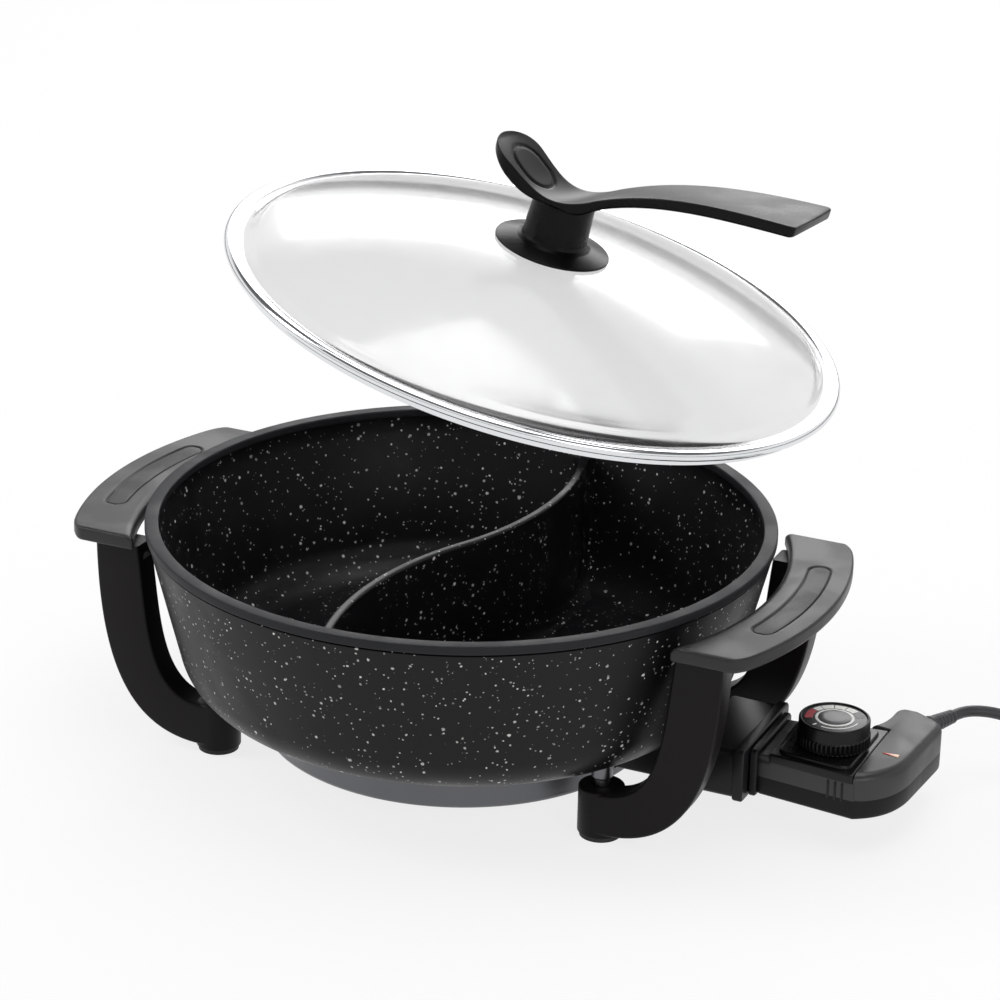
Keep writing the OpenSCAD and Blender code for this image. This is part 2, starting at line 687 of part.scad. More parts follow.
module control_cover() color("#4a4a4c") difference() {
  union() {
    difference() {
      union() {
        translate([0, 0, split_z]) linear_extrude(ctl_top - ctl_round - split_z) control_plan();
        for (i = [0:5]) translate([0, 0, ctl_top - ctl_round * (1 - sin(15 * i)) - eps])
          linear_extrude(ctl_round * (sin(15 * i + 15) - sin(15 * i)) + eps)
            control_plan(ctl_round * (1 - cos(15 * i + 7.5)));
      }
      translate([0, 0, split_z - 1]) linear_extrude(ctl_top - ctl_wall - split_z + 1)
        control_plan(ctl_wall);
    }
    // the floor under the deck, the lower top beside the faceplate and the step up to the top
    for (p = [[shell_x, deck_x + 2, neck_top + 1], [deck_x + 1, deck_end - 0.5, deck_low + 1],
        [deck_end - 1, deck_end + ctl_wall, ctl_top - 2.5]])
      translate([0, 0, deck_low - ctl_wall]) linear_extrude(p[2] - deck_low + ctl_wall) intersection() {
        control_plan(1);
        translate([p[0], -cut]) square([p[1] - p[0], cut * 2]);
      }
    control_posts(split_z, ctl_top - ctl_wall + 0.5);
  }
  box([shell_x - 1, -cut, neck_top], [deck_x, cut, ctl_top + 1]);
  box([deck_x - eps, -cut, deck_low], [deck_end, cut, ctl_top + 1]);
  post_holes(1.5 + screw_fit);
  contact_ways();
  translate([dial_x, 0, 0]) cylinder(r = shaft_d / 2 + 1, h = cut * 2, $fn = 48);
  at_outlet() translate([0, 0, -ctl_wall * 2]) cylinder(r = relief_neck_r + fit, h = cut, $fn = 48);
  translate([lens_at[0], lens_at[1], ctl_top - 1.2]) linear_extrude(2) lens_plan(fit / 2);
  translate([lens_at[0], lens_at[1], 0]) cylinder(r = 1.6, h = ctl_top, $fn = 24);
  grip_grooves();
}

// Raised dark deck that carries the dial
module dial_deck() color("#161617") difference() {
  union() {
    for (p = [[0, 2], [0.6, 1], [2, 0]]) translate([0, 0, deck_low])
      linear_extrude(deck_top - p[1] - deck_low) deck_plan(p[0]);
  }
  translate([dial_x, 0, 0]) cylinder(r = shaft_d / 2 + 1, h = cut * 2, $fn = 48);
}

module control_screws() color("#b9bbc0") for (p = ctl_posts) translate([p[0], p[1], 0]) {
  translate([0, 0, ctl_low + 1.2]) cylinder(r = 2.6, h = 1.8, $fn = 24);
  translate([0, 0, ctl_low + 3 - eps]) cylinder(r = 1.5, h = 15, $fn = 24);
}

module feeler_rod() color("#c4c6c9") {
  bar_x(feeler_tip_x + 2, shell_x + 10, feeler_d / 2, 0, axis_z);
  translate([feeler_tip_x, 0, axis_z]) rotate([0, 90, 0])
    cylinder(r1 = feeler_d / 2 - 1.4, r2 = feeler_d / 2, h = 2 + eps, $fn = 96);
}

module contact_sleeves() color("#c9b26a") for (s = [-1, 1]) difference() {
  bar_x(cold_end_x + 14, shell_x + 12, sleeve_r, s * pin_y, axis_z);
  bar_x(cold_end_x + 13, cold_end_x + pin_len + 2, pin_d / 2 + slide_fit, s * pin_y, axis_z);
}

// Thermostat block under the deck, with the bush that the dial's shaft turns in
module thermostat_switch() color("#8a6a3c") difference() {
  union() {
    box([shell_x + 10, -8.6, axis_z - 5], [deck_end - 4, 8.6, deck_low - ctl_wall - 1]);
    translate([dial_x, 0, deck_low - ctl_wall - 1 - eps])
      cylinder(r = shaft_d / 2 + 0.8, h = ctl_wall + 3, $fn = 48);
  }
  translate([dial_x, 0, axis_z - 2]) cylinder(r = shaft_d / 2 + slide_fit, h = cut, $fn = 96);
}

module lens_plan(d = 0) polygon([[-7 - d * 2, 0], [5 + d, 2.4 + d], [5 + d, -2.4 - d]]);

module indicator_lens() color("#e86a3a") {
  translate([lens_at[0], lens_at[1], ctl_top - 1.2]) linear_extrude(1.2) lens_plan();
}

module pilot_lamp() color("#e8b48a") translate([lens_at[0], lens_at[1], 0]) {
  translate([0, 0, ctl_low + ctl_wall]) box([-6, -4, 0], [6, 4, 4]);
  translate([0, 0, ctl_low + ctl_wall + 4 - eps]) cylinder(r = 2.6, h = 11, $fn = 32);
}

// ---- dial ----

module dial() color("#1d1d1e") translate([dial_x, 0, 0]) difference() {
  union() {
    translate([0, 0, deck_top + 0.4]) cylinder(r = dial_d / 2, h = dial_top - deck_top - 1.4);
    translate([0, 0, dial_top - 1 - eps]) cylinder(r1 = dial_d / 2, r2 = dial_d / 2 - 0.8, h = 1 + eps);
  }
  for (i = [0:dial_flutes - 1]) rotate(i * 360 / dial_flutes)
    translate([dial_d / 2 + 0.35, 0, deck_top]) cylinder(r = 0.8, h = 6.5, $fn = 16);
  translate([0, 0, dial_top - 0.9]) cylinder(r = dial_d / 2 - 2, h = 2);
  translate([0, 0, deck_top - 1]) cylinder(r = dial_d / 2 - 2.5, h = 4);
  cylinder(r = shaft_d / 2 + slide_fit, h = dial_top - 4, $fn = 96);
}

module dial_face() color("#c9cacc") translate([dial_x, 0, dial_top - 0.9]) {
  cylinder(r = dial_d / 2 - 2.2, h = 0.6);
  difference() {
    cylinder(r = 11, h = 1, $fn = 72);
    translate([0, 0, -1]) cylinder(r = 9.6, h = 3, $fn = 72);
  }
}

module dial_shaft() color("#b9bbc0") translate([dial_x, 0, axis_z - 1])
  cylinder(d = shaft_d, h = dial_top - 4 - axis_z + 1, $fn = 96);

// ---- cord ----

module strain_relief() color("#1c1c1d") at_outlet() {
  neck = ctl_wall + 1.7;
  translate([0, 0, -neck - 3]) cylinder(r = relief_flange_r, h = 3, $fn = 48);
  translate([0, 0, -neck - eps]) cylinder(r = relief_neck_r, h = neck + 3, $fn = 48);
  lift = (cord_r + 1.9) * tan(abs(bevel_turn - outlet_turn)) + fit;
  translate([0, 0, lift]) cylinder(r1 = cord_r + 1.9, r2 = cord_r + 0.6, h = relief_len - lift, $fn = 48);
}

// Sweeps a ring of n sides and radius r along the points
module tube(points, r, n) {
  m = len(points);
  ahead = [for (i = [0:m - 1]) let (v = points[min(i + 1, m - 1)] - points[max(i - 1, 0)]) v / norm(v)];
  rings = [for (i = [0:m - 1]) let (s = cross(ahead[i], [0, 0, 1]), side = s / norm(s),
      up = cross(side, ahead[i])) for (k = [0:n - 1]) let (a = 360 * k / n)
        points[i] + r * (cos(a) * side + sin(a) * up)];
  walls = [for (i = [0:m - 2], k = [0:n - 1]) let (a = i * n + k, b = i * n + (k + 1) % n)
      each [[a, a + n, b], [b, a + n, b + n]]];
  ends = [for (k = [1:n - 2]) each [[0, k, k + 1], [(m - 1) * n, (m - 1) * n + k + 1, (m - 1) * n + k]]];
  polyhedron(concat(rings, [points[0], points[m - 1]]), concat(walls, ends));
}

module cord_lead() color("#1a1a1b") tube(lead_points, cord_r, 8);

// Straight for a diameter where it leaves the relief, then by the route to the coil
lead_points = concat([outlet_at + relief_len * outlet_dir, outlet_at + (relief_len + cord_d) * outlet_dir],
  route, [coil_start - [cord_d, 0, 0], coil_start]);

// The coil winds in on the table, climbs, and winds out again on top
rings_per_turn = 24;
function coil_point(u) =
  let (half = coil_turns / 2, r = coil_r - coil_pitch * (u < half ? u : coil_turns - u),
    a = 90 - 360 * u, rise = min(1, max(0, (u - half + 0.25) / 0.5)))
  [coil_at[0] + r * cos(a), coil_at[1] + r * sin(a),
    coil_low_z + coil_pitch * (1 - cos(180 * rise)) / 2];
coil_steps = coil_turns * rings_per_turn;
coil_points = concat([coil_start],
  [for (i = [0:coil_steps]) coil_point(i / rings_per_turn)], [plug_at]);

module cord_coil() color("#1a1a1b") tube(coil_points, cord_r, 6);

// Least distance between turns, less the cord's own thickness
function turn_gaps(from) = [for (i = [0:coil_steps - from]) norm(
  coil_point(i / rings_per_turn) - coil_point((i + from) / rings_per_turn)) - cord_d];
coil_gap = min([for (k = [rings_per_turn - 6:coil_steps]) min(turn_gaps(k))]);
echo(least_gap_between_turns_of_the_coil = coil_gap);

module cord_tie() color("#101010") translate([coil_at[0], coil_at[1], 0]) {
  in_r = coil_r - coil_pitch * coil_turns / 2 - cord_r - 0.6;
  out_r = coil_r + cord_r + 0.6;
  top = coil_end_z + cord_r + 0.5;
  rotate(215) difference() {
    box([in_r - 0.7, -4, 0.05], [out_r + 0.7, 4, top + 0.7]);
    box([in_r, -5, 0.65], [out_r, 5, top]);
  }
}

module plug_body() color("#1a1a1b") translate(plug_at) {
  rotate([90, 0, 0]) cylinder(r1 = cord_r + 0.5, r2 = cord_r + 2.6, h = relief_len, $fn = 48);
  hull() for (x = [-1, 1], z = [-1, 1]) translate([x * (plug_half_w - 4), -relief_len + 3, z * 6])
    rotate([90, 0, 0]) {
      translate([0, 0, 4]) cylinder(r = 4, h = plug_len - 4, $fn = 32);
      translate([-x * 3, 0, 0]) cylinder(r = 2.5, h = 4, $fn = 32);
    }
}

module plug_blades() color("#c9b26a") for (s = [-1, 1])
  translate(plug_at + [s * blade_y - blade[0] / 2, -relief_len + 3 - plug_len - blade[2], -blade[1] / 2])
    cube([blade[0], blade[2], blade[1]]);

// ---- lid ----

// Lifted and tilted about the far axis, from its seat on the rim
module lid_place() rotate([0, 0, lid_swing]) translate([lid_axis[0], 0, lid_axis[1]])
  rotate([0, lid_tilt, 0]) translate([-lid_axis[0], 0, seat_z - lid_axis[1]]) children();

module handle_place() lid_place() rotate([0, 0, handle_turn]) children();

// Middle of the glass from the axis to the edge, height above the rim's middle
function dome_z(r) = shoulder_h + sqrt(dome_ball * dome_ball - r * r)
  - sqrt(dome_ball * dome_ball - shoulder_r * shoulder_r);
glass_line = concat([for (i = [0:9]) let (r = i * shoulder_r / 10) [max(r, glass_hole_r), dome_z(max(r, glass_hole_r))]],
  curve([[shoulder_r, shoulder_h], [shoulder_r + 3.5, shoulder_h - 1.4], [shoulder_r + 5, 0],
    [lid_r - 8.5, 0]], 10), [[glass_edge_r, 0]]);
function line_normal(v, i) = let (d = v[min(i + 1, len(v) - 1)] - v[max(i - 1, 0)]) [-d[1], d[0]] / norm(d);
function beside(v, d) = [for (i = [0:len(v) - 1]) v[i] + d * line_normal(v, i)];

module lid_glass() color("#dfe6e8", 0.4) lid_place() rotate_extrude($fn = 144)
  polygon(concat(beside(glass_line, glass_t / 2), reversed(beside(glass_line, -glass_t / 2))));

// Steel band folded over the glass edge, with a lip that drops inside the pot
module lid_rim() color("#c8cacc") lid_place() rotate_extrude($fn = 180) {
  h = band_h / 2;
  polygon([[lid_r - rim_fold, h - band_t], [lid_r - band_t, h - band_t], [lid_r - band_t, -h + band_t],
    [lip_r - band_t, -h + band_t], [lip_r - band_t, -h - lip_h], [lip_r, -h - lip_h], [lip_r, -h],
    [lid_r - 0.6, -h], [lid_r, -h + 0.6], [lid_r, h - 0.6], [lid_r - 0.6, h], [lid_r - rim_fold, h]]);
}

module lid_disc() color("#1e1e1f") lid_place() difference() {
  rotate_extrude($fn = 96) polygon([[0, disc_low], [post_r, disc_low - 0.25], [disc_r, disc_low - 0.8],
    [disc_r, disc_low + 0.9], [post_r + 1, disc_low + disc_h - 1.2], [post_r + 1, disc_low + disc_h],
    [0, disc_low + disc_h]]);
  cylinder(r = lid_screw_r + screw_fit * 2, h = cut * 3, $fn = 48);
}

thumb_top = [[-thumb_reach, valley_z + 16.3], [-17.6, valley_z + 8.9], [-9.3, valley_z - 13.7],
  [21.8, valley_z + 7.6]];
arm_top = [[21.8, valley_z + 7.6], [54.5, valley_z + 27.5], [arm_reach - 40, tip_z - 6.4],
  [arm_reach, tip_z]];
arm_low = [[19.8, valley_z + 1.2], [53.5, valley_z + 20.3], [arm_reach - 40, tip_z - 12.8],
  [arm_reach + 2, tip_z - 5.8]];

// Side view of the thumb rest and the arm
module handle_side() polygon(concat(curve(thumb_top, 10), curve(arm_top, 12),
  reversed(curve(arm_low, 12)), [[post_r - 2, post_top], [-post_r + 7, post_top], [1 - thumb_reach, valley_z + 12]]));

// Plan view: a round thumb rest, a waist over the post and a widening arm
module handle_plan() {
  waist = 15.5;
  side = concat(
    [for (i = [0:8]) let (a = 180 - i * 11.25)
      [-thumb_reach + thumb_nose * (1 + cos(a)), thumb_w / 2 * sin(a)]],
    curve([[-thumb_reach + thumb_nose, thumb_w / 2], [-14, thumb_w / 2 + 1], [0, waist], [15, waist]], 8),
    curve([[15, waist], [50, waist + 0.5], [arm_reach - 40, tip_w / 2 - 1.5], [arm_reach, tip_w / 2]], 8),
    [[arm_reach + 4, tip_w / 2 - 3]]);
  polygon(concat(side, reversed([for (p = side) [p[0], -p[1]]])));
}

// Places children on the thumb rest's slope, +Z out of its face
module on_thumb() translate(thumb_at) rotate([0, thumb_slope, 0]) children();

module thumb_oval(d = 0) {
  for (s = [-1, 1]) translate([s * 2.7, 0]) circle(r = 11.6 - d, $fn = 48);
  square([5.4, 23.2 - d * 2], center = true);
}

module lid_handle() color("#1e1e1f") handle_place() difference() {
  union() {
    intersection() {
      rotate([90, 0, 0]) translate([0, 0, -cut]) linear_extrude(cut * 2) handle_side();
      linear_extrude(cut * 4) handle_plan();
    }
    translate([0, 0, disc_low + disc_h]) cylinder(r1 = post_r + 0.6, r2 = post_r - 0.8,
      h = post_top - disc_low - disc_h + 0.5);
  }
  translate([0, 0, disc_low]) cylinder(r = lid_screw_r + screw_fit, h = post_bore_top - disc_low, $fn = 48);
  on_thumb() translate([0, 0, -0.8]) linear_extrude(cut) thumb_oval();
}

module thumb_inlay() color("#29292b") handle_place() on_thumb()
  translate([0, 0, -0.8]) linear_extrude(0.7) thumb_oval(0.4);

module lid_washer() color("#1c1c1c") lid_place() translate([0, 0, dome_h - glass_t - 1.8])
  difference() {
    cylinder(r = 9, h = 1.6, $fn = 64);
    translate([0, 0, -1]) cylinder(r = lid_screw_r + screw_fit * 2, h = 4, $fn = 48);
  }

module lid_screw() color("#c4c6c9") lid_place() translate([0, 0, dome_h - glass_t - 1.8]) {
  translate([0, 0, -3]) cylinder(r1 = 3.6, r2 = 4.8, h = 3, $fn = 48);
  translate([0, 0, -eps]) cylinder(r = lid_screw_r, h = post_bore_top - 2 - (dome_h - glass_t - 1.8), $fn = 48);
}

pot_body();
base_cover();
base_cover_screws();
heating_element();
heater_pins();
socket_housing();
left_grip();
right_grip();
left_grip_inlay();
right_grip_inlay();
left_front_leg();
left_rear_leg();
right_front_leg();
right_rear_leg();
foot_screws();
grip_screws();
foot_pads();
control_faceplate();
control_base();
control_cover();
dial_deck();
control_screws();
feeler_rod();
contact_sleeves();
thermostat_switch();
pilot_lamp();
indicator_lens();
dial();
dial_face();
dial_shaft();
strain_relief();
cord_lead();
cord_coil();
cord_tie();
plug_body();
plug_blades();
lid_glass();
lid_rim();
lid_disc();
lid_handle();
thumb_inlay();
lid_screw();
lid_washer();
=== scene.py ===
import math

import bmesh
import bpy
import numpy as np
from mathutils import Matrix, Vector


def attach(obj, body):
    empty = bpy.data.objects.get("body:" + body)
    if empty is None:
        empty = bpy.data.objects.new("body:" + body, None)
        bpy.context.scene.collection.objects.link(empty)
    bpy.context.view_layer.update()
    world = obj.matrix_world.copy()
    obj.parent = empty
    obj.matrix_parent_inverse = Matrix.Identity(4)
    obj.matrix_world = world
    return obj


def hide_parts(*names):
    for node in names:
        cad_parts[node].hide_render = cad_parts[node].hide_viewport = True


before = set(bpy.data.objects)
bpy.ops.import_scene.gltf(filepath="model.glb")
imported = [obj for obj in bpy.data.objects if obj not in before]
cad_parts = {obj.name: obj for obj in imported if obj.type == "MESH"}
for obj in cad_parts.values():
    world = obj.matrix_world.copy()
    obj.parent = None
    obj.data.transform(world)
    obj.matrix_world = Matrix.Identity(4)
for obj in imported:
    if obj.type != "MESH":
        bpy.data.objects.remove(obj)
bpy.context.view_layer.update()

MM = 0.001  # in metres
CAPPED, POLES, RING = "capped", "poles", "ring"

# Sizes in millimetres, with the names of the part's source
RIM_R, RIM_W, RIM_Z, RIM_T = 170.0, 7.6, 134.0, 5.0
WALL_T, WALL_LEAN, FLOOR_ROUND, UNDER_Z, FLOOR_Z = 5.0, math.radians(14), 30.0, 37.0, 42.0
WALL_TOP_Z, WALL_OUT_R, RIM_IN_R = RIM_Z - RIM_T, RIM_R - 1, RIM_R - RIM_W
DIVIDER_T, DIVIDER_TOP, DIVIDER_CROSS_Y, DIVIDER_BEND = 5.0, 115.0, 12.0, 195.0
FOOT_X, FOOT_Y, FOOT_D, FOOT_H, PAD_T = 113.5, 66.5, 24.5, 29.0, 2.2
LEG_OUT_X, LEG_W, LEG_T, LEG_LOW_Z, LEG_LOW_H = 181.5, 26.0, 16.0, 5.0, 24.5
LEG_FACE_Y = FOOT_Y + FOOT_D / 2
GRIP_Z, GRIP_T, GRIP_HALF, GRIP_IN_R, GRIP_REACH, GRIP_OUT_R = 123.0, 8.0, 85.0, 176.0, 211.5, 200.0
GRIP_OUT_C = GRIP_REACH - GRIP_OUT_R
SOCKET_HALF, SOCKET_TOP, SOCKET_LOW, SOCKET_END = 33.5, 46.0, 19.0, 179.5
CTL_X, SHELL_X, CTL_END, CTL_HALF, KINK_X, KINK_Y = 180.0, 184.0, 261.0, 23.0, 238.5, 29.0
CTL_LOW, CTL_TOP, SPLIT_Z, PLATE_HALF = 19.0, 45.0, 30.0, 26.5
DECK_X, DECK_END, DECK_LOW, DECK_TOP, DECK_LAP, NECK_TOP = 190.0, 237.5, 40.0, 46.8, 1.2, 43.0
DIAL_X, DIAL_R, DIAL_TOP = 216.5, 19.3, 61.5
OUTLET_X, OUTLET_Y, OUTLET_TURN = 232.0, 64.5, math.radians(24)
CORD_D, RELIEF_LEN = 6.2, 20.0
CORD_R = CORD_D / 2
COIL_TURNS, COIL_R = 4.25, 40.5
COIL_LOW_Z, COIL_PITCH = CORD_R + 0.8, CORD_D + 0.6
COIL_END_Z = COIL_LOW_Z + COIL_PITCH
COIL_AT = np.array([CTL_END + 91, OUTLET_Y + 10.5])
PLUG_AT = np.array([COIL_AT[0] + COIL_R, COIL_AT[1] - CORD_D * 2.6, COIL_END_Z])
OUTLET_AT = np.array([CTL_END - 11, OUTLET_Y - 5.8, CTL_LOW + 19])
OUTLET_DIR = np.array([math.sin(OUTLET_TURN), math.cos(OUTLET_TURN), 0.0])
LID_AXIS, LID_TILT, LID_SWING, SEAT_Z, LID_R = (513.4, 44.5), math.radians(13.93), math.radians(9.56), 136.7, 166.0
BAND_H, BAND_T, DOME_H, SHOULDER_R, SHOULDER_H, GLASS_T = 5.0, 0.8, 35.0, 149.0, 4.5, 3.4
DISC_R, POST_R, VALLEY_Z, TIP_Z, ARM_REACH, TIP_W = 30.5, 17.3, 65.0, 106.0, 131.0, 49.0
THUMB_W, THUMB_REACH, THUMB_NOSE = 38.5, 43.7, 14.5
HANDLE_TURN, DISC_LOW = math.radians(-13.3), DOME_H + 0.1
LENS_AT = (CTL_END - 13.5, 3.0)


# ---- camera ----

def set_camera():
    """The photograph's camera: a long lens at 24.6 degrees to the right of the
    front and 26.1 degrees up, aimed a little above and beside the pot's foot."""
    turn, lift, roll = map(math.radians, (24.591, 26.114, 1.04))
    away, sensor = 1.944, 36
    focal, beside_foot, above_foot, picture = 3510.8, -37.9, 240.6, 1000  # in pixels
    back = Vector((math.sin(turn) * math.cos(lift), -math.cos(turn) * math.cos(lift), math.sin(lift)))
    right = (-back).cross(Vector((0, 0, 1))).normalized()
    up = right.cross(-back)
    aim = (-back - right * (beside_foot / focal) + up * (above_foot / focal)).normalized()
    side = aim.cross(up).normalized()
    top = side.cross(aim)
    r = side * math.cos(roll) + top * math.sin(roll)
    u = top * math.cos(roll) - side * math.sin(roll)
    data = bpy.data.cameras.new("camera")
    data.sensor_width = data.sensor_height = sensor
    data.lens = focal * sensor / picture
    data.clip_start, data.clip_end = 0.05, 30
    eye = bpy.data.objects.new("camera", data)
    bpy.context.scene.collection.objects.link(eye)
    eye.matrix_world = Matrix.Translation(back * away) @ Matrix((r, u, -aim)).transposed().to_4x4()
    bpy.context.scene.camera = eye


set_camera()


# ---- shapes from arrays ----

def cubic(p, n):
    """Points at n even steps of the cubic curve with the four control points p."""
    t = np.linspace(0, 1, n + 1)[:, None]
    p = np.asarray(p, float)
    return p[0] * (1 - t) ** 3 + 3 * p[1] * t * (1 - t) ** 2 + 3 * p[2] * t * t * (1 - t) + p[3] * t ** 3


def step_between(x, a, b):
    """0 below a, 1 above b, and a smooth S between them."""
    t = np.clip((x - a) / (b - a), 0, 1)
    return t * t * (3 - 2 * t)


def grid(*axes):
    """Points from arrays of their coordinates, spread to one common shape."""
    return np.stack(np.broadcast_arrays(*axes), -1)


def quads(nu, nv, wraps):
    """Faces between neighbours of an nu by nv grid whose columns join round, and
    whose rows do too where it wraps."""
    i, j = np.arange(nu if wraps else nu - 1)[:, None], np.arange(nv)[None, :]
    i2, j2 = (i + 1) % nu, (j + 1) % nv
    return np.stack([i * nv + j, i2 * nv + j, i2 * nv + j2, i * nv + j2], -1).reshape(-1, 4)


def piece(name, body, material, grids, stands_for=(), crisp=38):
    """One object from one or more grids of closed rows of points in mm. Each
    comes with the word for its ends: CAPPED with flat faces, drawn together at
    POLES, or joined to each other in a RING. Doubles are merged, faces point
    outwards, and edges sharper than crisp degrees stay sharp."""
    points, faces, start = [], [], 0
    for p, ends in grids:
        nu, nv = p.shape[:2]
        points.append(p.reshape(-1, 3))
        faces += (quads(nu, nv, ends == RING) + start).tolist()
        if ends == CAPPED:
            faces += [list(range(at, at + nv)) for at in (start, start + (nu - 1) * nv)]
        start += nu * nv
    mesh = bpy.data.meshes.new(name)
    mesh.from_pydata((np.vstack(points) * MM).tolist(), [], faces)
    work = bmesh.new()
    work.from_mesh(mesh)
    bmesh.ops.remove_doubles(work, verts=work.verts, dist=2e-6)
    bmesh.ops.recalc_face_normals(work, faces=work.faces)
    work.to_mesh(mesh)
    work.free()
    mesh.shade_smooth()
    mesh.set_sharp_from_angle(angle=math.radians(crisp))
    mesh.materials.append(material)
    obj = bpy.data.objects.new(name, mesh)
    bpy.context.scene.collection.objects.link(obj)
    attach(obj, body)
    if stands_for:
        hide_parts(*stands_for)
    return obj


def revolve(profile, n=192, centre=(0.0, 0.0)):
    """The profile of (radius, height) turned about the upright axis through
    centre, at n even angles. A profile point on the axis becomes a pole."""
    p = np.asarray(profile, float)
    a = np.arange(n) * 2 * np.pi / n
    return grid(centre[0] + p[:, :1] * np.cos(a), centre[1] + p[:, :1] * np.sin(a), p[:, 1:2])


def rounded(a, b, c, r, n=5):
    """Arc of radius r that rounds the corner b between the lines to a and c."""
    a, b, c = (np.asarray(v, float) for v in (a, b, c))
    u, v = (a - b) / np.linalg.norm(a - b), (c - b) / np.linalg.norm(c - b)
    half = math.acos(np.clip(u @ v, -1, 1)) / 2
    mid = b + (u + v) / np.linalg.norm(u + v) * r / math.sin(half)
    start, end = b + u * r / math.tan(half) - mid, b + v * r / math.tan(half) - mid
    t = np.linspace(0, 1, n + 1)[:, None]
    turn = math.acos(np.clip(start @ end / (r * r), -1, 1))
    return mid + (start * np.sin((1 - t) * turn) + end * np.sin(t * turn)) / math.sin(turn)


def soft_profile(corners, n=5):
    """A line through (x, y, radius) corners, each rounded to its radius."""
    out = [np.array([corners[0][:2]], float)]
    for a, b, c in zip(corners, corners[1:], corners[2:]):
        out.append(rounded(a[:2], b[:2], c[:2], b[2], n) if b[2] else np.array([b[:2]], float))
    out.append(np.array([corners[-1][:2]], float))
    return np.vstack(out)


def rect_ring(w, h, r, n=6):
    """Closed outlines of rounded rectangles: four corner arcs of radius r on the
    corners of a w by h rectangle about 0. w, h and r may be columns, one row each."""
    a = np.concatenate([np.linspace(q, q + np.pi / 2, n + 1) for q in np.arange(4) * np.pi / 2])
    sx = np.repeat([1, -1, -1, 1], n + 1)
    sy = np.repeat([1, 1, -1, -1], n + 1)
    w, h, r = (np.atleast_1d(np.asarray(v, float))[:, None] for v in (w, h, r))
    return grid(sx * (w / 2 - r) + r * np.cos(a), sy * (h / 2 - r) + r * np.sin(a))


def shrunk(v, d):
    """A closed outline moved inwards: each corner goes along the sum of its two
    sides' inward normals, by the distance d that keeps both sides parallel."""
    a, b = v - np.roll(v, 1, 0), np.roll(v, -1, 0) - v
    a, b = a / np.linalg.norm(a, axis=1)[:, None], b / np.linalg.norm(b, axis=1)[:, None]
    na, nb = np.c_[-a[:, 1], a[:, 0]], np.c_[-b[:, 1], b[:, 0]]
    return v + np.asarray(d, float).reshape(-1, 1) * (na + nb) / (1 + (na * nb).sum(1))[:, None]


def stack(outline, levels):
    """The outline repeated at (height, inset) levels, as a grid of closed rows."""
    return np.stack([np.c_[shrunk(outline, d), np.full(len(outline), z)] for z, d in levels])


def quarter(n):
    """A quarter arc of radius 1 as n points: their distances from the two sides
    that it joins, the one from 1 to 0 and the other from 0 to 1."""
    a = np.linspace(0, np.pi / 2, n)
    return 1 - np.sin(a), 1 - np.cos(a)


def edge_levels(low, high, r_low, r_high, n=5):
    """Levels of a slab whose lower and upper edges are rounded to quarter arcs."""
    from_face, inset = quarter(n + 1)
    up = np.c_[low + r_low * from_face, r_low * inset][::-1] if r_low else [[low, 0]]
    down = np.c_[high - r_high * from_face, r_high * inset] if r_high else [[high, 0]]
    return np.vstack([up, down])


def tube(path, r, sides=16):
    """A circle of radius r carried along the path: at each point it lies across
    the line between the point's neighbours."""
    path = np.asarray(path, float)
    ahead = np.vstack([path[1:2] - path[:1], path[2:] - path[:-2], path[-1:] - path[-2:-1]])
    ahead /= np.linalg.norm(ahead, axis=1)[:, None]
    side = np.cross(ahead, [0, 0, 1.0])
    side /= np.linalg.norm(side, axis=1)[:, None]
    up = np.cross(side, ahead)
    a = np.arange(sides) * 2 * np.pi / sides
    r = np.broadcast_to(np.asarray(r, float), (len(path),))[:, None, None]
    return path[:, None] + r * (np.cos(a)[None, :, None] * side[:, None] + np.sin(a)[None, :, None] * up[:, None])


# ---- shared effects ----

def node(tree, kind, values=(), **settings):
    """A node with its settings. An input, by name or number, is given its value,
    or is linked to the socket that stands there instead."""
    n = tree.nodes.new(kind)
    for k, v in settings.items():
        setattr(n, k, v)
    for k, v in dict(values).items():
        if isinstance(v, bpy.types.NodeSocket):
            tree.links.new(v, n.inputs[k])
        else:
            n.inputs[k].default_value = v
    return n


def maths(tree, what, *values):
    """The result of one Math node on sockets or numbers."""
    return node(tree, "ShaderNodeMath", dict(enumerate(values)), operation=what).outputs[0]


def effect(name, defaults, outputs):
    """A shader node group from a vector and the named values to the named
    results: its tree, its input sockets and its output node."""
    tree = bpy.data.node_groups.new(name, "ShaderNodeTree")
    tree.interface.new_socket(name="Vector", in_out="INPUT", socket_type="NodeSocketVector")
    for label, value in defaults.items():
        tree.interface.new_socket(name=label, in_out="INPUT", socket_type="NodeSocketFloat").default_value = value
    for label in outputs:
        tree.interface.new_socket(name=label, in_out="OUTPUT", socket_type="NodeSocketFloat")
    return tree, tree.nodes.new("NodeGroupInput").outputs, tree.nodes.new("NodeGroupOutput")


def spread(tree, value, a, b, c, d):
    """A value from a..b put onto c..d, with smooth ends."""
    ends = {0: value, 1: a, 2: b, 3: c, 4: d}
    return node(tree, "ShaderNodeMapRange", ends, interpolation_type="SMOOTHSTEP").outputs[0]


def make_grain():
    """Fine moulded grain: quick noise for the height, slow noise for patches
    where the surface is a little duller, from hands and wiping."""
    tree, given, out = effect("moulded grain", {"Scale": 900.0}, ["Height", "Patches"])
    fine = node(tree, "ShaderNodeTexNoise",
                {"Vector": given["Vector"], "Scale": given["Scale"], "Detail": 3.0, "Roughness": 0.6})
    slow = node(tree, "ShaderNodeTexNoise", {"Vector": given["Vector"], "Scale": 26.0, "Detail": 4.0,
                                             "Roughness": 0.55, "Distortion": 0.6})
    tree.links.new(fine.outputs["Fac"], out.inputs["Height"])
    tree.links.new(spread(tree, slow.outputs["Fac"], 0.32, 0.68, 0.0, 1.0), out.inputs["Patches"])
    return tree


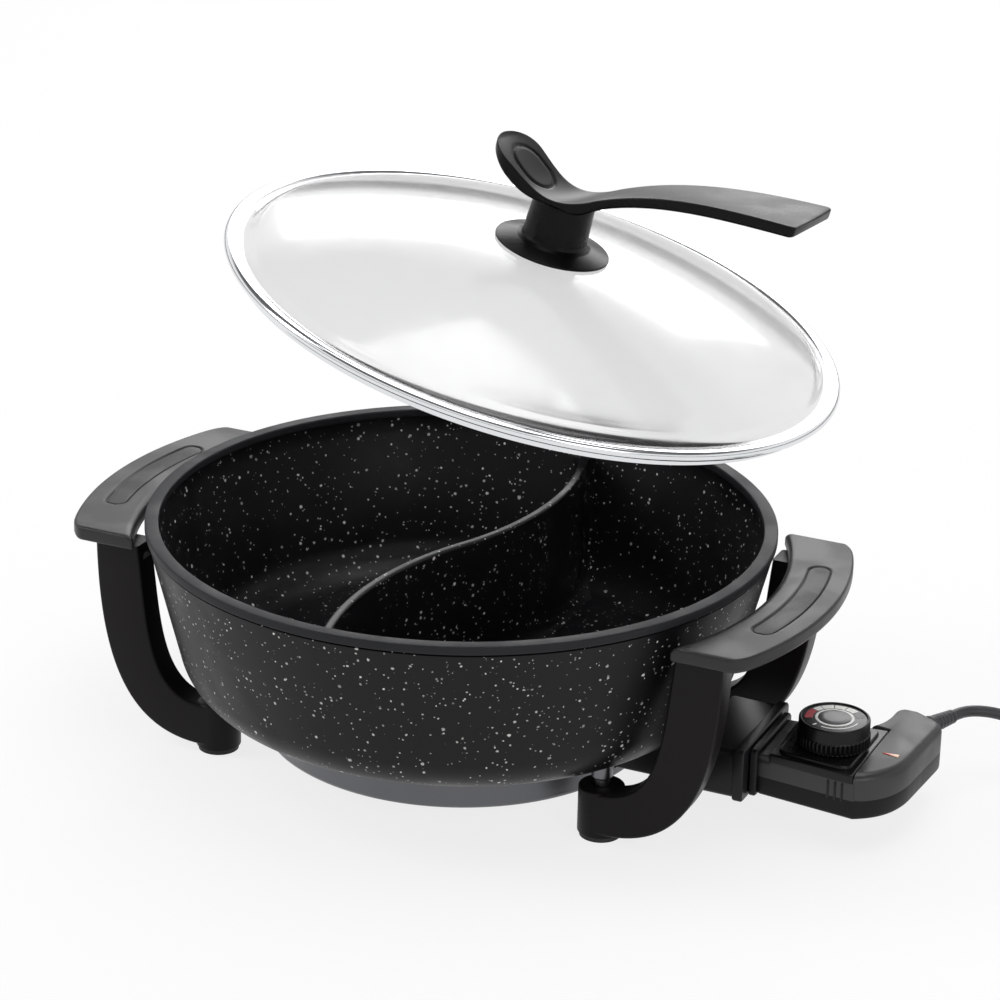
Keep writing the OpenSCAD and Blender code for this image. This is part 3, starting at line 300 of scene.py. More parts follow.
def make_flecks():
    """Stone flecks: in cells of one over Scale, a share of the cells holds a
    round fleck whose size and tone differ from cell to cell."""
    tree, given, out = effect("stone flecks", {"Scale": 300.0, "Share": 0.3, "Size": 0.25}, ["Mask", "Tone"])
    warp = node(tree, "ShaderNodeTexNoise", {"Vector": given["Vector"], "Scale": 700.0, "Detail": 1.0})
    push = node(tree, "ShaderNodeVectorMath", {0: warp.outputs["Color"], 3: 0.0009}, operation="SCALE")
    moved = node(tree, "ShaderNodeVectorMath", {0: given["Vector"], 1: push.outputs[0]}, operation="ADD")
    cells = node(tree, "ShaderNodeTexVoronoi", {"Vector": moved.outputs[0], "Scale": given["Scale"]})
    pick, vary, shade = node(tree, "ShaderNodeSeparateColor", {0: cells.outputs["Color"]}).outputs
    held = maths(tree, "LESS_THAN", pick, given["Share"])
    size = maths(tree, "MULTIPLY", given["Size"], maths(tree, "ADD", 0.35, vary))
    reach = {0: cells.outputs["Distance"], 1: maths(tree, "MULTIPLY", size, 0.6), 2: size, 3: 1.0, 4: 0.0}
    inside = node(tree, "ShaderNodeMapRange", reach).outputs[0]
    tree.links.new(maths(tree, "MULTIPLY", inside, held), out.inputs["Mask"])
    tree.links.new(shade, out.inputs["Tone"])
    return tree


def make_brushing():
    """Fine turned lines: noise stretched along circles about the upright axis."""
    tree, given, out = effect("turned lines", {"Scale": 1200.0}, ["Lines", "Patches"])
    x, y, z = node(tree, "ShaderNodeSeparateXYZ", {0: given["Vector"]}).outputs
    squares = [maths(tree, "MULTIPLY", v, v) for v in (x, y)]
    r = maths(tree, "SQRT", maths(tree, "ADD", *squares))
    scaled = [maths(tree, "MULTIPLY", v, given["Scale"]) for v in (r, z)]
    both = node(tree, "ShaderNodeCombineXYZ", dict(enumerate(scaled)))
    lines = node(tree, "ShaderNodeTexNoise", {"Vector": both.outputs[0], "Scale": 1.0, "Detail": 2.0})
    slow = node(tree, "ShaderNodeTexNoise", {"Vector": given["Vector"], "Scale": 14.0, "Detail": 3.0})
    tree.links.new(lines.outputs["Fac"], out.inputs["Lines"])
    tree.links.new(spread(tree, slow.outputs["Fac"], 0.35, 0.65, 0.0, 1.0), out.inputs["Patches"])
    return tree


GRAIN, FLECKS, TURNED = make_grain(), make_flecks(), make_brushing()


# ---- materials ----

def tone(r, g, b):
    """An sRGB colour of 0 to 255 as the linear colour of a shader socket."""
    c = np.array([r, g, b]) / 255.0
    return tuple(np.where(c <= 0.04045, c / 12.92, ((c + 0.055) / 1.055) ** 2.4)) + (1.0,)


def finish(name, colour, rough, **sockets):
    """A material with its Principled shader, and the other sockets by name."""
    m = bpy.data.materials.new(name)
    m.use_nodes = True
    tree = m.node_tree
    shader = tree.nodes["Principled BSDF"]
    for k, v in {"Base Color": colour, "Roughness": rough, **sockets}.items():
        shader.inputs[k.replace("_", " ")].default_value = v
    return m, tree, shader.inputs, tree.nodes.new("ShaderNodeTexCoord").outputs["Object"]


def use(tree, group, place, **values):
    """The results of a shared effect, fed with the place and its own values."""
    return node(tree, "ShaderNodeGroup", {"Vector": place, **values}, node_tree=group).outputs


def bump(tree, sockets, height, deep, strength=1.0):
    """A Bump node of that depth in metres on the shader's normal."""
    b = node(tree, "ShaderNodeBump", {"Strength": strength, "Distance": deep, "Height": height})
    tree.links.new(b.outputs[0], sockets["Normal"])


def drift(tree, sockets, effect_out, a, b):
    """Roughness that goes from a to b with the patches of a shared effect."""
    tree.links.new(spread(tree, effect_out["Patches"], 0, 1, a, b), sockets["Roughness"])


def mixed(tree, mask, a, b):
    """Colour a where the mask is 0 and b where it is 1."""
    return node(tree, "ShaderNodeMix", {0: mask, 6: a, 7: b}, data_type="RGBA").outputs[2]


def darker(colour, share):
    """That share of a colour's light."""
    return tuple(c * share for c in colour[:3]) + (1.0,)


def plastic(name, rgb, rough, scale=900.0, deep=0.00003, vary=0.12, shine=0.5):
    """Moulded plastic or rubber: grain in the normal, and colour and roughness
    that drift a little from patch to patch."""
    colour = tone(*rgb)
    m, tree, sockets, place = finish(name, colour, rough, Specular_IOR_Level=shine)
    g = use(tree, GRAIN, place, Scale=scale)
    drift(tree, sockets, g, rough * (1 - vary), min(1, rough * (1 + vary)))
    tree.links.new(mixed(tree, g["Patches"], darker(colour, 1 - vary), colour), sockets["Base Color"])
    bump(tree, sockets, g["Height"], deep)
    return m


def metal(name, rgb, rough, scale=1500.0, vary=0.25):
    """Metal with fine turned lines and duller patches."""
    m, tree, sockets, place = finish(name, tone(*rgb), rough, Metallic=1.0)
    g = use(tree, TURNED, place, Scale=scale)
    drift(tree, sockets, g, rough * (1 - vary), rough * (1 + vary))
    bump(tree, sockets, g["Lines"], 0.00001, 0.5)
    return m


def stone_coat(name, dark, light, sorts, rough):
    """Black non-stick coat with a faint orange peel and several sorts of flecks,
    each with its scale, share of cells and size."""
    m, tree, sockets, place = finish(name, dark, rough, Specular_IOR_Level=0.2)
    colour = dark
    for scale, share, size in sorts:
        f = use(tree, FLECKS, place, Scale=scale, Share=share, Size=size)
        colour = mixed(tree, f["Mask"], colour, mixed(tree, f["Tone"], darker(light, 0.35), light))
    tree.links.new(colour, sockets["Base Color"])
    g = use(tree, GRAIN, place, Scale=650.0)
    drift(tree, sockets, g, rough * 0.9, rough * 1.15)
    bump(tree, sockets, g["Height"], 0.00004)
    return m


COAT = stone_coat("stone coat", tone(15, 15, 17), tone(226, 224, 220),
                  [(340.0, 0.18, 0.28), (220.0, 0.08, 0.21), (540.0, 0.16, 0.28)], 0.38)
RIM_GREY = plastic("rim ring", (42, 43, 45), 0.44, 700.0, 0.00002, shine=0.12)
COVER_METAL = metal("base sheet", (104, 105, 108), 0.34)
POST_METAL = metal("foot post", (112, 113, 116), 0.26)
SCREW_METAL = metal("screw", (170, 171, 174), 0.30)
BRASS = metal("contact brass", (196, 160, 92), 0.28)
HEATER_METAL = metal("heater tube", (110, 108, 106), 0.5)
CHROME = metal("lid band", (226, 228, 230), 0.12, 500.0)
LEG_PLASTIC = plastic("leg plastic", (24, 22, 21), 0.4, shine=0.14)
GRIP_PLASTIC = plastic("grip plastic", (46, 45, 47), 0.38, shine=0.3)
INLAY_RUBBER = plastic("grip inlay", (34, 33, 35), 0.5, 1400.0, 0.00005)
PAD_RUBBER = plastic("foot rubber", (34, 34, 34), 0.7, 1200.0, 0.00006)
HOUSING_PLASTIC = plastic("housing plastic", (32, 32, 34), 0.32, shine=0.22)
PLATE_PLASTIC = plastic("faceplate plastic", (22, 22, 23), 0.34, shine=0.2)
CONTROL_PLASTIC = plastic("control base plastic", (24, 23, 24), 0.38, shine=0.18)
TOP_PLASTIC = plastic("control top plastic", (46, 45, 46), 0.4)
DECK_PLASTIC = plastic("deck plastic", (9, 9, 10), 0.3, shine=0.3)
DIAL_PLASTIC = plastic("dial plastic", (13, 13, 14), 0.32, shine=0.25)
DIAL_BLACK = plastic("dial face", (26, 26, 28), 0.3, 1500.0, 0.00001)
DIAL_CAP = plastic("dial cap", (74, 74, 76), 0.34, 1500.0, 0.00001)
PRINT_WHITE = plastic("white print", (246, 246, 242), 0.5, 1500.0, 0.00001, 0.06)
PRINT_GREY = plastic("grey print", (140, 140, 138), 0.5, 1500.0, 0.00001, 0.06)
PRINT_RED = plastic("red print", (176, 30, 50), 0.5, 1500.0, 0.00001, 0.1)
SWITCH_PLASTIC = plastic("switch plastic", (140, 106, 70), 0.5)
CORD_RUBBER = plastic("cord rubber", (52, 53, 55), 0.42, 1100.0, 0.00003)
HANDLE_PLASTIC = plastic("handle plastic", (12, 12, 13), 0.3, 800.0, 0.00002, shine=0.14)
HANDLE_PAD = plastic("thumb rest pad", (14, 14, 15), 0.33, 1100.0, 0.00002, shine=0.14)


def make_lamp_plastic():
    """Amber lens that pales towards its blunt end, along the lens's own length."""
    m, tree, sockets, place = finish("indicator lens", tone(232, 96, 52), 0.25, Transmission_Weight=0.2)
    x = node(tree, "ShaderNodeSeparateXYZ", {0: place}).outputs[0]
    along = spread(tree, x, (LENS_AT[0] - 3) * MM, (LENS_AT[0] + 4) * MM, 0, 1)
    tree.links.new(mixed(tree, along, tone(226, 84, 44), tone(250, 206, 176)), sockets["Base Color"])
    return m


def make_glass():
    """Tempered glass, a little grey, with faint slow patches of haze."""
    m, tree, sockets, place = finish("lid glass", (0.81, 0.815, 0.815, 1), 0.02, Transmission_Weight=1.0, IOR=1.45)
    drift(tree, sockets, use(tree, GRAIN, place, Scale=60.0), 0.08, 0.14)
    return m


LENS_PLASTIC, GLASS = make_lamp_plastic(), make_glass()


# ---- cord ----

def through(points, n):
    """n points on a smooth line through the given ones: between two of them a
    cubic whose end slopes follow their neighbours, evenly spaced by length."""
    p = np.asarray(points, float)
    s = np.r_[0, np.cumsum(np.linalg.norm(np.diff(p, axis=0), axis=1))]
    slope = np.gradient(p, s, axis=0)
    at = np.linspace(0, s[-1], n)
    k = np.clip(np.searchsorted(s, at, "right") - 1, 0, len(s) - 2)
    h = (s[k + 1] - s[k])[:, None]
    t = (at - s[k])[:, None] / h
    return ((2 * t ** 3 - 3 * t ** 2 + 1) * p[k] + (t ** 3 - 2 * t ** 2 + t) * h * slope[k]
            + (3 * t ** 2 - 2 * t ** 3) * p[k + 1] + (t ** 3 - t ** 2) * h * slope[k + 1])


def coil_points(n_turn=24):
    """The coil: the radius shrinks evenly for half of the turns and grows again,
    while in the half turn about the middle the height eases up by one pitch."""
    u = np.arange(0, COIL_TURNS * n_turn + 0.5) / n_turn
    half = COIL_TURNS / 2
    r = COIL_R - COIL_PITCH * np.minimum(u, COIL_TURNS - u)
    a = np.pi / 2 - 2 * np.pi * u
    rise = np.clip((u - half + 0.25) / 0.5, 0, 1)
    z = COIL_LOW_Z + COIL_PITCH * (1 - np.cos(np.pi * rise)) / 2
    return np.c_[COIL_AT[0] + r * np.cos(a), COIL_AT[1] + r * np.sin(a), z]


def ripples(along, places, width, depth):
    """How far soft-edged grooves at those places cut in, at each point along."""
    return depth * np.exp(-((along[:, None] - places) / width) ** 2).sum(1)


def make_cord():
    """The cord's path: straight out of its relief, down to the table, into the
    coil and out of it into the plug. One smooth tube follows it."""
    steps = [[14.8, 29.3, -0.3], [20.5, 33.3, -0.9], [27, 36.5, -2.1], [34, 39.3, -4.2], [41, 41.8, -7.3],
             [47.6, 44.1, -11.5], [53.8, 46.5, -16.4], [60, 49.1, -21.4], [66.5, 51.8, -26], [73.3, 54.1, -30],
             [81.3, 56.1, -32.8]]
    start = np.array([COIL_AT[0] - CORD_D, COIL_AT[1] + COIL_R, COIL_LOW_Z])
    lead = np.vstack([OUTLET_AT + RELIEF_LEN * OUTLET_DIR, OUTLET_AT + (RELIEF_LEN + CORD_D) * OUTLET_DIR,
                      OUTLET_AT + steps, start - [CORD_D, 0, 0], start])
    coil = coil_points()
    path = np.vstack([through(np.vstack([lead, coil[:2]]), 36)[:-1], coil[1:], PLUG_AT])
    return piece("cord", "control", CORD_RUBBER, [(tube(path, CORD_R, 20), CAPPED)],
                 ["cord_lead", "cord_coil"], 60), path


def make_relief():
    """Strain relief: a cone about the cord's direction, its radius falling
    evenly, with a collar at its foot and shallow grooves across it."""
    foot = -6
    along = np.linspace(foot, RELIEF_LEN, 70)
    cone = np.interp(along, [foot, 1.2, RELIEF_LEN - 0.6, RELIEF_LEN],
                     [CORD_R + 0.6, CORD_R + 1.9, CORD_R + 0.7, CORD_R + 0.2])
    collar = 0.35 * step_between(along, 0.2, 0.8) * (1 - step_between(along, 2.0, 2.8))
    r = cone + collar - ripples(along, np.arange(5.5, 17, 2.8), 0.45, 0.3)
    return piece("cord_strain_relief", "control", CORD_RUBBER,
                 [(tube(OUTLET_AT + along[:, None] * OUTLET_DIR, r, 32), CAPPED)], ["strain_relief"], 70)


def make_tie():
    """Strap round the coil: a thin flat section, 8 mm wide, carried round a
    rounded rectangle that stands across the turns."""
    in_r, out_r = COIL_R - COIL_PITCH * COIL_TURNS / 2 - CORD_R - 0.6, COIL_R + CORD_R + 0.6
    low, high = 0.05, COIL_END_Z + CORD_R + 1.2
    outer, inner = (rect_ring(out_r - in_r + 1.4 - 2 * d, high - low - 2 * d, 2.5 - d, 8)[0]
                    + [(in_r + out_r) / 2, (low + high) / 2] for d in (0, 0.6))
    half, edge = 4.0, 3.6
    rows = [(outer, -edge), (outer, edge), (outer, half), (inner, half), (inner, edge), (inner, -edge),
            (inner, -half), (outer, -half)]
    c, s = math.cos(math.radians(215)), math.sin(math.radians(215))
    p = np.stack([grid(COIL_AT[0] + l[:, 0] * c - w * s, COIL_AT[1] + l[:, 0] * s + w * c, l[:, 1]) for l, w in rows])
    return piece("cord_tie_strap", "control", LEG_PLASTIC, [(p, RING)], ["cord_tie"])


def make_plug():
    """Plug body: rounded-rectangle sections along -Y that grow from the cord to a
    26 by 20 mm grip, draw in at its waist and end in a flat face."""
    s = [0, 4, 8, 12, 16, 17.6, 18.6, 19.6, 21, 23, 26, 30, 34, 38, 42, 45, 47, 48.2, 48.9, 49]
    w = [7.6, 8.6, 9.6, 10.4, 11, 12.4, 15, 18.2, 21.4, 23.6, 25, 24.4, 23.8, 24.4, 25.4, 26, 26, 25.6, 24.4, 23]
    h = [7.6, 8.6, 9.6, 10.4, 11, 12, 13.6, 15.2, 16.8, 18, 19, 18.6, 18.2, 18.6, 19.4, 20, 20, 19.6, 18.4, 17]
    fine = np.linspace(0, s[-1], 80)
    cut = ripples(fine, np.array([5, 8.5, 12]), 0.5, 0.5)
    w, h = np.interp(fine, s, w) - cut, np.interp(fine, s, h) - cut
    ring = rect_ring(w, h, np.minimum(w, h) / 2 * np.interp(fine, [0, 17, 30, 49], [0.999, 0.98, 0.5, 0.42]), 7)
    p = grid(PLUG_AT[0] + ring[..., 0], PLUG_AT[1] - fine[:, None], PLUG_AT[2] + ring[..., 1])
    return piece("plug_grip", "control", CORD_RUBBER, [(p, CAPPED)], ["plug_body"], 50)


cord, cord_path = make_cord()
cord_length = float(np.linalg.norm(np.diff(cord_path, axis=0), axis=1).sum()) / 1000
make_relief()
make_tie()
make_plug()


# ---- pot ----

def bowl(r_top, z_top, z_floor, r_round, n=26):
    """From the axis: flat floor, an arc of radius r_round, and a straight wall
    that leans outwards up to (r_top, z_top)."""
    z_t = z_floor + r_round * (1 - math.sin(WALL_LEAN))
    r_c = r_top - (z_top - z_t) * math.tan(WALL_LEAN) - r_round * math.cos(WALL_LEAN)
    a = np.linspace(0, math.pi / 2 - WALL_LEAN, n)
    return np.vstack([[[0, z_floor], [r_c * 0.5, z_floor]],
                      np.c_[r_c + r_round * np.sin(a), z_floor + r_round * (1 - np.cos(a))],
                      np.linspace([r_c + r_round * math.cos(WALL_LEAN), z_t], [r_top, z_top], 8)[1:]])


def make_pot():
    """Shell: outside bowl, a narrow groove under the rim, and the inside bowl
    turned about the axis. The rim ring is a rounded rectangle turned likewise."""
    outside = bowl(WALL_OUT_R, WALL_TOP_Z - 0.8, UNDER_Z, FLOOR_ROUND)
    inside = bowl(WALL_OUT_R - WALL_T, WALL_TOP_Z - 0.6, FLOOR_Z, FLOOR_ROUND - WALL_T)
    groove_r = WALL_OUT_R - 1.6
    groove = [[WALL_OUT_R - 0.7, WALL_TOP_Z - 0.2], [groove_r, WALL_TOP_Z + 0.1], [groove_r, WALL_TOP_Z + 1.5],
              [RIM_IN_R + 1.6, WALL_TOP_Z + 1.5], [RIM_IN_R + 1.5, WALL_TOP_Z + 0.1]]
    shell = np.vstack([outside, groove, inside[::-1]])
    piece("pot_shell", "pot", COAT, [(revolve(shell, 256), POLES)], ["pot_body"], 50)
    ring = rect_ring(RIM_W, RIM_T - 0.3, 0.9, 5)[0] + [RIM_R - RIM_W / 2, RIM_Z - (RIM_T - 0.3) / 2]
    piece("pot_rim_ring", "pot", RIM_GREY, [(revolve(ring, 256), RING)], (), 50)


def divider_line(y):
    """Middle line of the dividing wall: two arcs of one radius, bent to opposite
    sides, that meet where they cross the middle."""
    front, back = (RIM_R + DIVIDER_CROSS_Y) / 2, (RIM_R - DIVIDER_CROSS_Y) / 2
    before = y < DIVIDER_CROSS_Y
    off = np.where(before, math.sqrt(DIVIDER_BEND ** 2 - front ** 2), math.sqrt(DIVIDER_BEND ** 2 - back ** 2))
    mid = np.where(before, DIVIDER_CROSS_Y - front, DIVIDER_CROSS_Y + back)
    return np.where(before, 1, -1) * (off - np.sqrt(np.maximum(DIVIDER_BEND ** 2 - (y - mid) ** 2, 1)))


def make_divider():
    """Dividing wall: across it, foot fillets, upright sides and a rounded top;
    along it, the section follows the middle line and widens in a fillet where
    it runs into the pot's wall."""
    top, edge, foot_r, wall_r, sunk = DIVIDER_TOP, 1.6, 9, 10, 1.8
    z = np.r_[FLOOR_Z - 1, FLOOR_Z + foot_r * (1 - np.cos(np.linspace(0.15, np.pi / 2, 7))),
              np.linspace(60, top - 3, 10), top - edge + edge * np.sin(np.linspace(0, np.pi / 2, 7))]
    foot = foot_r - np.sqrt(np.clip(foot_r ** 2 - (foot_r - np.clip(z - FLOOR_Z, 0, foot_r)) ** 2, 0, None))
    half = DIVIDER_T / 2 - edge * (1 - np.cos(np.arcsin(np.clip((z - top + edge) / edge, 0, 1)))) + foot
    inside = bowl(WALL_OUT_R - WALL_T, WALL_TOP_Z, FLOOR_Z, FLOOR_ROUND - WALL_T)
    bowl_r = np.interp(z, inside[3:, 1], inside[3:, 0])
    share = np.r_[np.linspace(-1, -0.86, 26), np.linspace(-0.84, 0.84, 85), np.linspace(0.86, 1, 26)]
    y = share[:, None] * (bowl_r + sunk)
    x = divider_line(y)
    slope = divider_line(y + 0.5) - divider_line(y - 0.5)
    across = 1 / np.sqrt(1 + slope ** 2)
    to_wall = np.clip(bowl_r - np.hypot(x, y), 0, wall_r)
    width = half + wall_r - np.sqrt(np.clip(wall_r ** 2 - (wall_r - to_wall) ** 2, 0, None))
    sides = []
    for s in (-1, 1):
        px, py = x + s * across * width, y - s * across * slope * width
        keep = np.minimum(1, (bowl_r + sunk) / np.hypot(px, py))
        sides.append(grid(px * keep, py * keep, z))
    section = np.concatenate([sides[0], sides[1][:, ::-1]], 1)
    piece("dividing_wall", "pot", COAT, [(section, CAPPED)], (), 50)


def make_posts():
    """The four metal posts between the pot's underside and the feet: turned pins
    with a rounded shoulder."""
    profile = soft_profile([(0, 24.4, 0), (4.3, 24.4, 0.4), (4.3, 33, 0.5), (5.6, 34, 0.5), (5.6, 41, 0), (0, 41, 0)])
    grids = [(revolve(profile, 40, (sx * FOOT_X, sy * FOOT_Y)), POLES) for sx in (-1, 1) for sy in (-1, 1)]
    piece("foot_posts", "pot", POST_METAL, grids)


make_pot()
make_divider()
make_posts()


# ---- legs and grips ----

def leg_grid():
    """The leg at +X +Y: a rounded rectangle carried down between the outer and
    the inner edge curve, to the foot."""
    n, low, foot_top = 46, GRIP_Z - GRIP_T, LEG_LOW_Z + LEG_LOW_H
    out_x, in_x = LEG_OUT_X, LEG_OUT_X - LEG_W
    outer = cubic([[out_x, low], [out_x - 0.5, low * 0.48], [out_x - LEG_W * 0.44, LEG_LOW_Z + 0.5],
                   [FOOT_X + FOOT_D / 4, LEG_LOW_Z]], n)
    inner = cubic([[in_x, low], [in_x - 5.5, low * 0.61], [in_x - 3.5, foot_top], [FOOT_X + 4, foot_top - 1]], n)
    outer = np.vstack([outer, [[FOOT_X, LEG_LOW_Z]]])
    inner = np.vstack([inner, [[FOOT_X, FOOT_H - 1]]])
    mid, across = (outer + inner) / 2, (outer - inner) / 2
    width = np.linalg.norm(across, axis=1) * 2
    across = across / (width / 2)[:, None]
    u, y = np.moveaxis(rect_ring(width, LEG_T, 1.8, 5), -1, 0)
    return grid(mid[:, :1] + across[:, :1] * u, LEG_FACE_Y - LEG_T / 2 + y, mid[:, 1:] + across[:, 1:] * u)


def make_legs():
    """Four legs, each with its foot: a turned cup with rounded edges, hollow
    below for its screw and above for the pot's post."""
    foot = soft_profile([(0, 14, 0), (5.5, 14, 0.3), (5.5, PAD_T, 0.6), (FOOT_D / 2, PAD_T, 1.0),
                         (FOOT_D / 2, FOOT_H, 1.3), (4.7, FOOT_H, 0.5), (4.7, 24.2, 0.3), (0, 24.2, 0)])
    leg = leg_grid()
    for name, sx, sy in (("left_front_leg", -1, -1), ("left_rear_leg", -1, 1), ("right_front_leg", 1, -1),
                         ("right_rear_leg", 1, 1)):
        grids = [(leg * [sx, sy, 1], CAPPED), (revolve(foot, 72, (sx * FOOT_X, sy * FOOT_Y)), POLES)]
        piece(name + "_moulding", "pot", LEG_PLASTIC, grids, [name], 45)


INLAY_IN_R, INLAY_OUT_R, INLAY_END_Y, INLAY_GAP = GRIP_IN_R + 12, GRIP_OUT_R - 11, GRIP_HALF - 34 - 9, 0.45
INLAY_NEAR_X = math.sqrt(INLAY_IN_R ** 2 - INLAY_END_Y ** 2)
INLAY_FAR_X = GRIP_OUT_C + math.sqrt(INLAY_OUT_R ** 2 - INLAY_END_Y ** 2)
INLAY_END_X = (INLAY_NEAR_X + INLAY_FAR_X) / 2
INLAY_END_R = (INLAY_FAR_X - INLAY_NEAR_X) / 2 * math.cos(math.radians(12))


def inlay_depth(x, y):
    """How far a point lies inside the inlay's outline, in mm: from its two arcs
    along its length, and from a circle at each end."""
    side = np.minimum(np.hypot(x, y) - INLAY_IN_R, INLAY_OUT_R - np.hypot(x - GRIP_OUT_C, y))
    end = INLAY_END_R - np.hypot(x - INLAY_END_X, np.abs(y) - INLAY_END_Y)
    return np.where(np.abs(y) < INLAY_END_Y, side, end)


def grip_grid():
    """The grip at +X: along it the inner edge follows the rim and the outer edge
    bulges, cut off slanting near the ends; across it the section has a wide
    rounding on the inner upper edge, and its top is lowered inside the inlay's
    outline."""
    end, wide, edge, low_edge, blunt, sunk = 2.2, 4.6, 1.6, 2.4, 3.0, 1.1
    fall, rise = (end * v for v in quarter(6))
    middle = np.linspace(-GRIP_HALF + end, GRIP_HALF - end, 190)[1:-1]
    y = np.r_[-GRIP_HALF + rise, middle, (GRIP_HALF - rise)[::-1]]
    inset = np.r_[fall, 0 * middle, fall[::-1]]
    x_in = np.sqrt(GRIP_IN_R ** 2 - y ** 2) + inset
    slant = GRIP_REACH - 22 + (GRIP_HALF - np.abs(y)) * 22 / 14
    x_arc = GRIP_OUT_C + np.sqrt(GRIP_OUT_R ** 2 - y ** 2)
    x_out = -blunt * np.log(np.exp(-(x_arc - GRIP_REACH) / blunt) + np.exp(-(slant - GRIP_REACH) / blunt))
    x_out = x_out + GRIP_REACH - inset + 0.02
    aside, down = quarter(7)
    low, top = GRIP_Z - GRIP_T, GRIP_Z
    far = np.linspace(0, 1, 46)[1:-1]
    # share of the way from the inner to the outer edge, shift in mm, height
    s = np.vstack([np.c_[0 * down, wide * aside, top - wide * down * 0.8][::-1],
                   np.c_[far, wide * (1 - far) - edge * far, 0 * far + top],
                   np.c_[0 * down + 1, -edge * aside, top - edge * down],
                   np.c_[0 * down + 1, -low_edge * aside, low + low_edge * down][::-1],
                   np.c_[0 * down, edge * aside, low + edge * down]])
    x = x_in[:, None] * (1 - s[:, 0]) + x_out[:, None] * s[:, 0] + s[:, 1]
    mid = (low + top) / 2
    z = mid + (s[:, 2] - mid)[None, :] * (1 - inset / 5.0)[:, None]
    lower = sunk * step_between(inlay_depth(x, y[:, None]), -0.7, 0.35) * (z > top - 0.3)
    return grid(x, y[:, None], z - lower)


def inlay_grid():
    """The grip's inlay: the outline's inside as rows across, with rounded edges
    and a slightly crowned top just under the grip's surface."""
    y = (INLAY_END_Y + INLAY_END_R - INLAY_GAP) * np.sin(np.linspace(-1, 1, 121) * np.pi / 2)
    along = np.abs(y) < INLAY_END_Y
    cap = np.sqrt(np.clip((INLAY_END_R - INLAY_GAP) ** 2 - (np.abs(y) - INLAY_END_Y) ** 2, 0, None))
    x_in = np.where(along, np.sqrt((INLAY_IN_R + INLAY_GAP) ** 2 - y ** 2), INLAY_END_X - cap)
    x_out = np.where(along, GRIP_OUT_C + np.sqrt((INLAY_OUT_R - INLAY_GAP) ** 2 - y ** 2), INLAY_END_X + cap)
    a = np.linspace(np.pi, 0, 25)
    across, crown = (1 - np.cos(np.pi - a)) / 2, np.sin(a) ** 0.35
    x = x_in[:, None] * (1 - across) + x_out[:, None] * across
    high = GRIP_Z - 1.3 + 1.15 * crown[None, :] * np.clip((x_out - x_in)[:, None] / 6, 0, 1)
    return np.concatenate([grid(x, y[:, None], high), grid(x, y[:, None], GRIP_Z - 1.6)[:, ::-1]], 1)


def make_grips():
    """Both grips with their inlays, the left ones mirrored."""
    grip, inlay = grip_grid(), inlay_grid()
    for side, s in (("left", -1), ("right", 1)):
        piece(side + "_grip_moulding", "pot", GRIP_PLASTIC,
              [(grip * [s, 1, 1], CAPPED)], [side + "_grip"], 50)
        piece(side + "_grip_soft_inlay", "pot", INLAY_RUBBER,
              [(inlay * [s, 1, 1], CAPPED)], [side + "_grip_inlay"], 50)


make_legs()
make_grips()


# ---- socket housing ----

def x_loft(sections):
    """Rounded rectangles across X, one for each (x, half width, low, high, corner)."""
    s = np.asarray(sections, float)
    ring = rect_ring(s[:, 1] * 2, s[:, 3] - s[:, 2], s[:, 4], 6)
    return grid(s[:, :1], ring[..., 0], ring[..., 1] + ((s[:, 2] + s[:, 3]) / 2)[:, None])


def make_housing():
    """Housing under the pot's edge: a low tunnel, a wider box with softened
    edges and a flange, then back inside it for the socket's hollow."""
    lo, top, half, end = SOCKET_LOW, SOCKET_TOP, SOCKET_HALF, SOCKET_END
    rows = [(97, 27, lo + 1, 35.6, 1.5), (98, 28, lo, 36.6, 2), (147, 28, lo, 36.6, 2),
            (147.01, 31.5, lo + 0.6, 44, 3), (148.2, 33, lo + 0.1, 45.6, 3), (150, half, lo, top, 3),
            (172.6, half, lo, top, 3), (173.4, half + 0.1, lo, top + 0.2, 3),
            (174, half + 0.8, lo - 0.8, top + 1.3, 2.2), (174.7, half + 1, lo - 1, top + 1.6, 2),
            (178.8, half + 1, lo - 1, top + 1.6, 2), (end, half + 0.3, lo - 0.3, top + 0.9, 1.6),
            (end, 26.6, lo + 2, 43.1, 1.5), (end - 0.8, 26, lo + 2.5, 42.5, 1.2), (149.5, 26, lo + 2.5, 42.5, 1.2),
            (149.5, 23.5, lo + 2.5, 35.3, 1.2), (99.5, 23.5, lo + 2.5, 35.3, 1.2)]
    piece("socket_shroud", "pot", HOUSING_PLASTIC, [(x_loft(rows), CAPPED)], ["socket_housing"], 30)


make_housing()


# ---- control ----

def control_outline():
    """The control's body from above: flared sides, a rounded far corner, and at
    the back the outlet block with its bevelled corner."""
    near, far = np.array([KINK_X, -KINK_Y]), np.array([CTL_END, OUTLET_Y])
    outlet, shoulder = np.array([OUTLET_X, OUTLET_Y]), np.array([OUTLET_X, KINK_Y])
    return np.vstack([
        [[SHELL_X, -CTL_HALF]], np.linspace([SHELL_X, -CTL_HALF], near, 12)[1:],
        cubic([near, near + [10.5, 6], [CTL_END - 4, -KINK_Y + 15], [CTL_END - 2.4, 4]], 14)[1:],
        cubic(far + [[0, -20], [0.2, -14], [-1.6, -10.8], [-6.2, -8]], 8),
        cubic(np.vstack([far + [[-16.5, -2.5], [-17.8, -1.8]], outlet + [[9.8, -2.4], [8, -2.8]]]), 4),
        cubic(outlet + [[8, -2.8], [2.6, -3.9], [0.3, -6.3], [0.3, -11.5]], 6)[1:],
        cubic(np.vstack([outlet + [[0.3, -11.5], [0.3, -21]], shoulder + [[-1.6, 5.6], [-9, 0.4]]]), 12)[1:],
        [[SHELL_X, CTL_HALF]]])


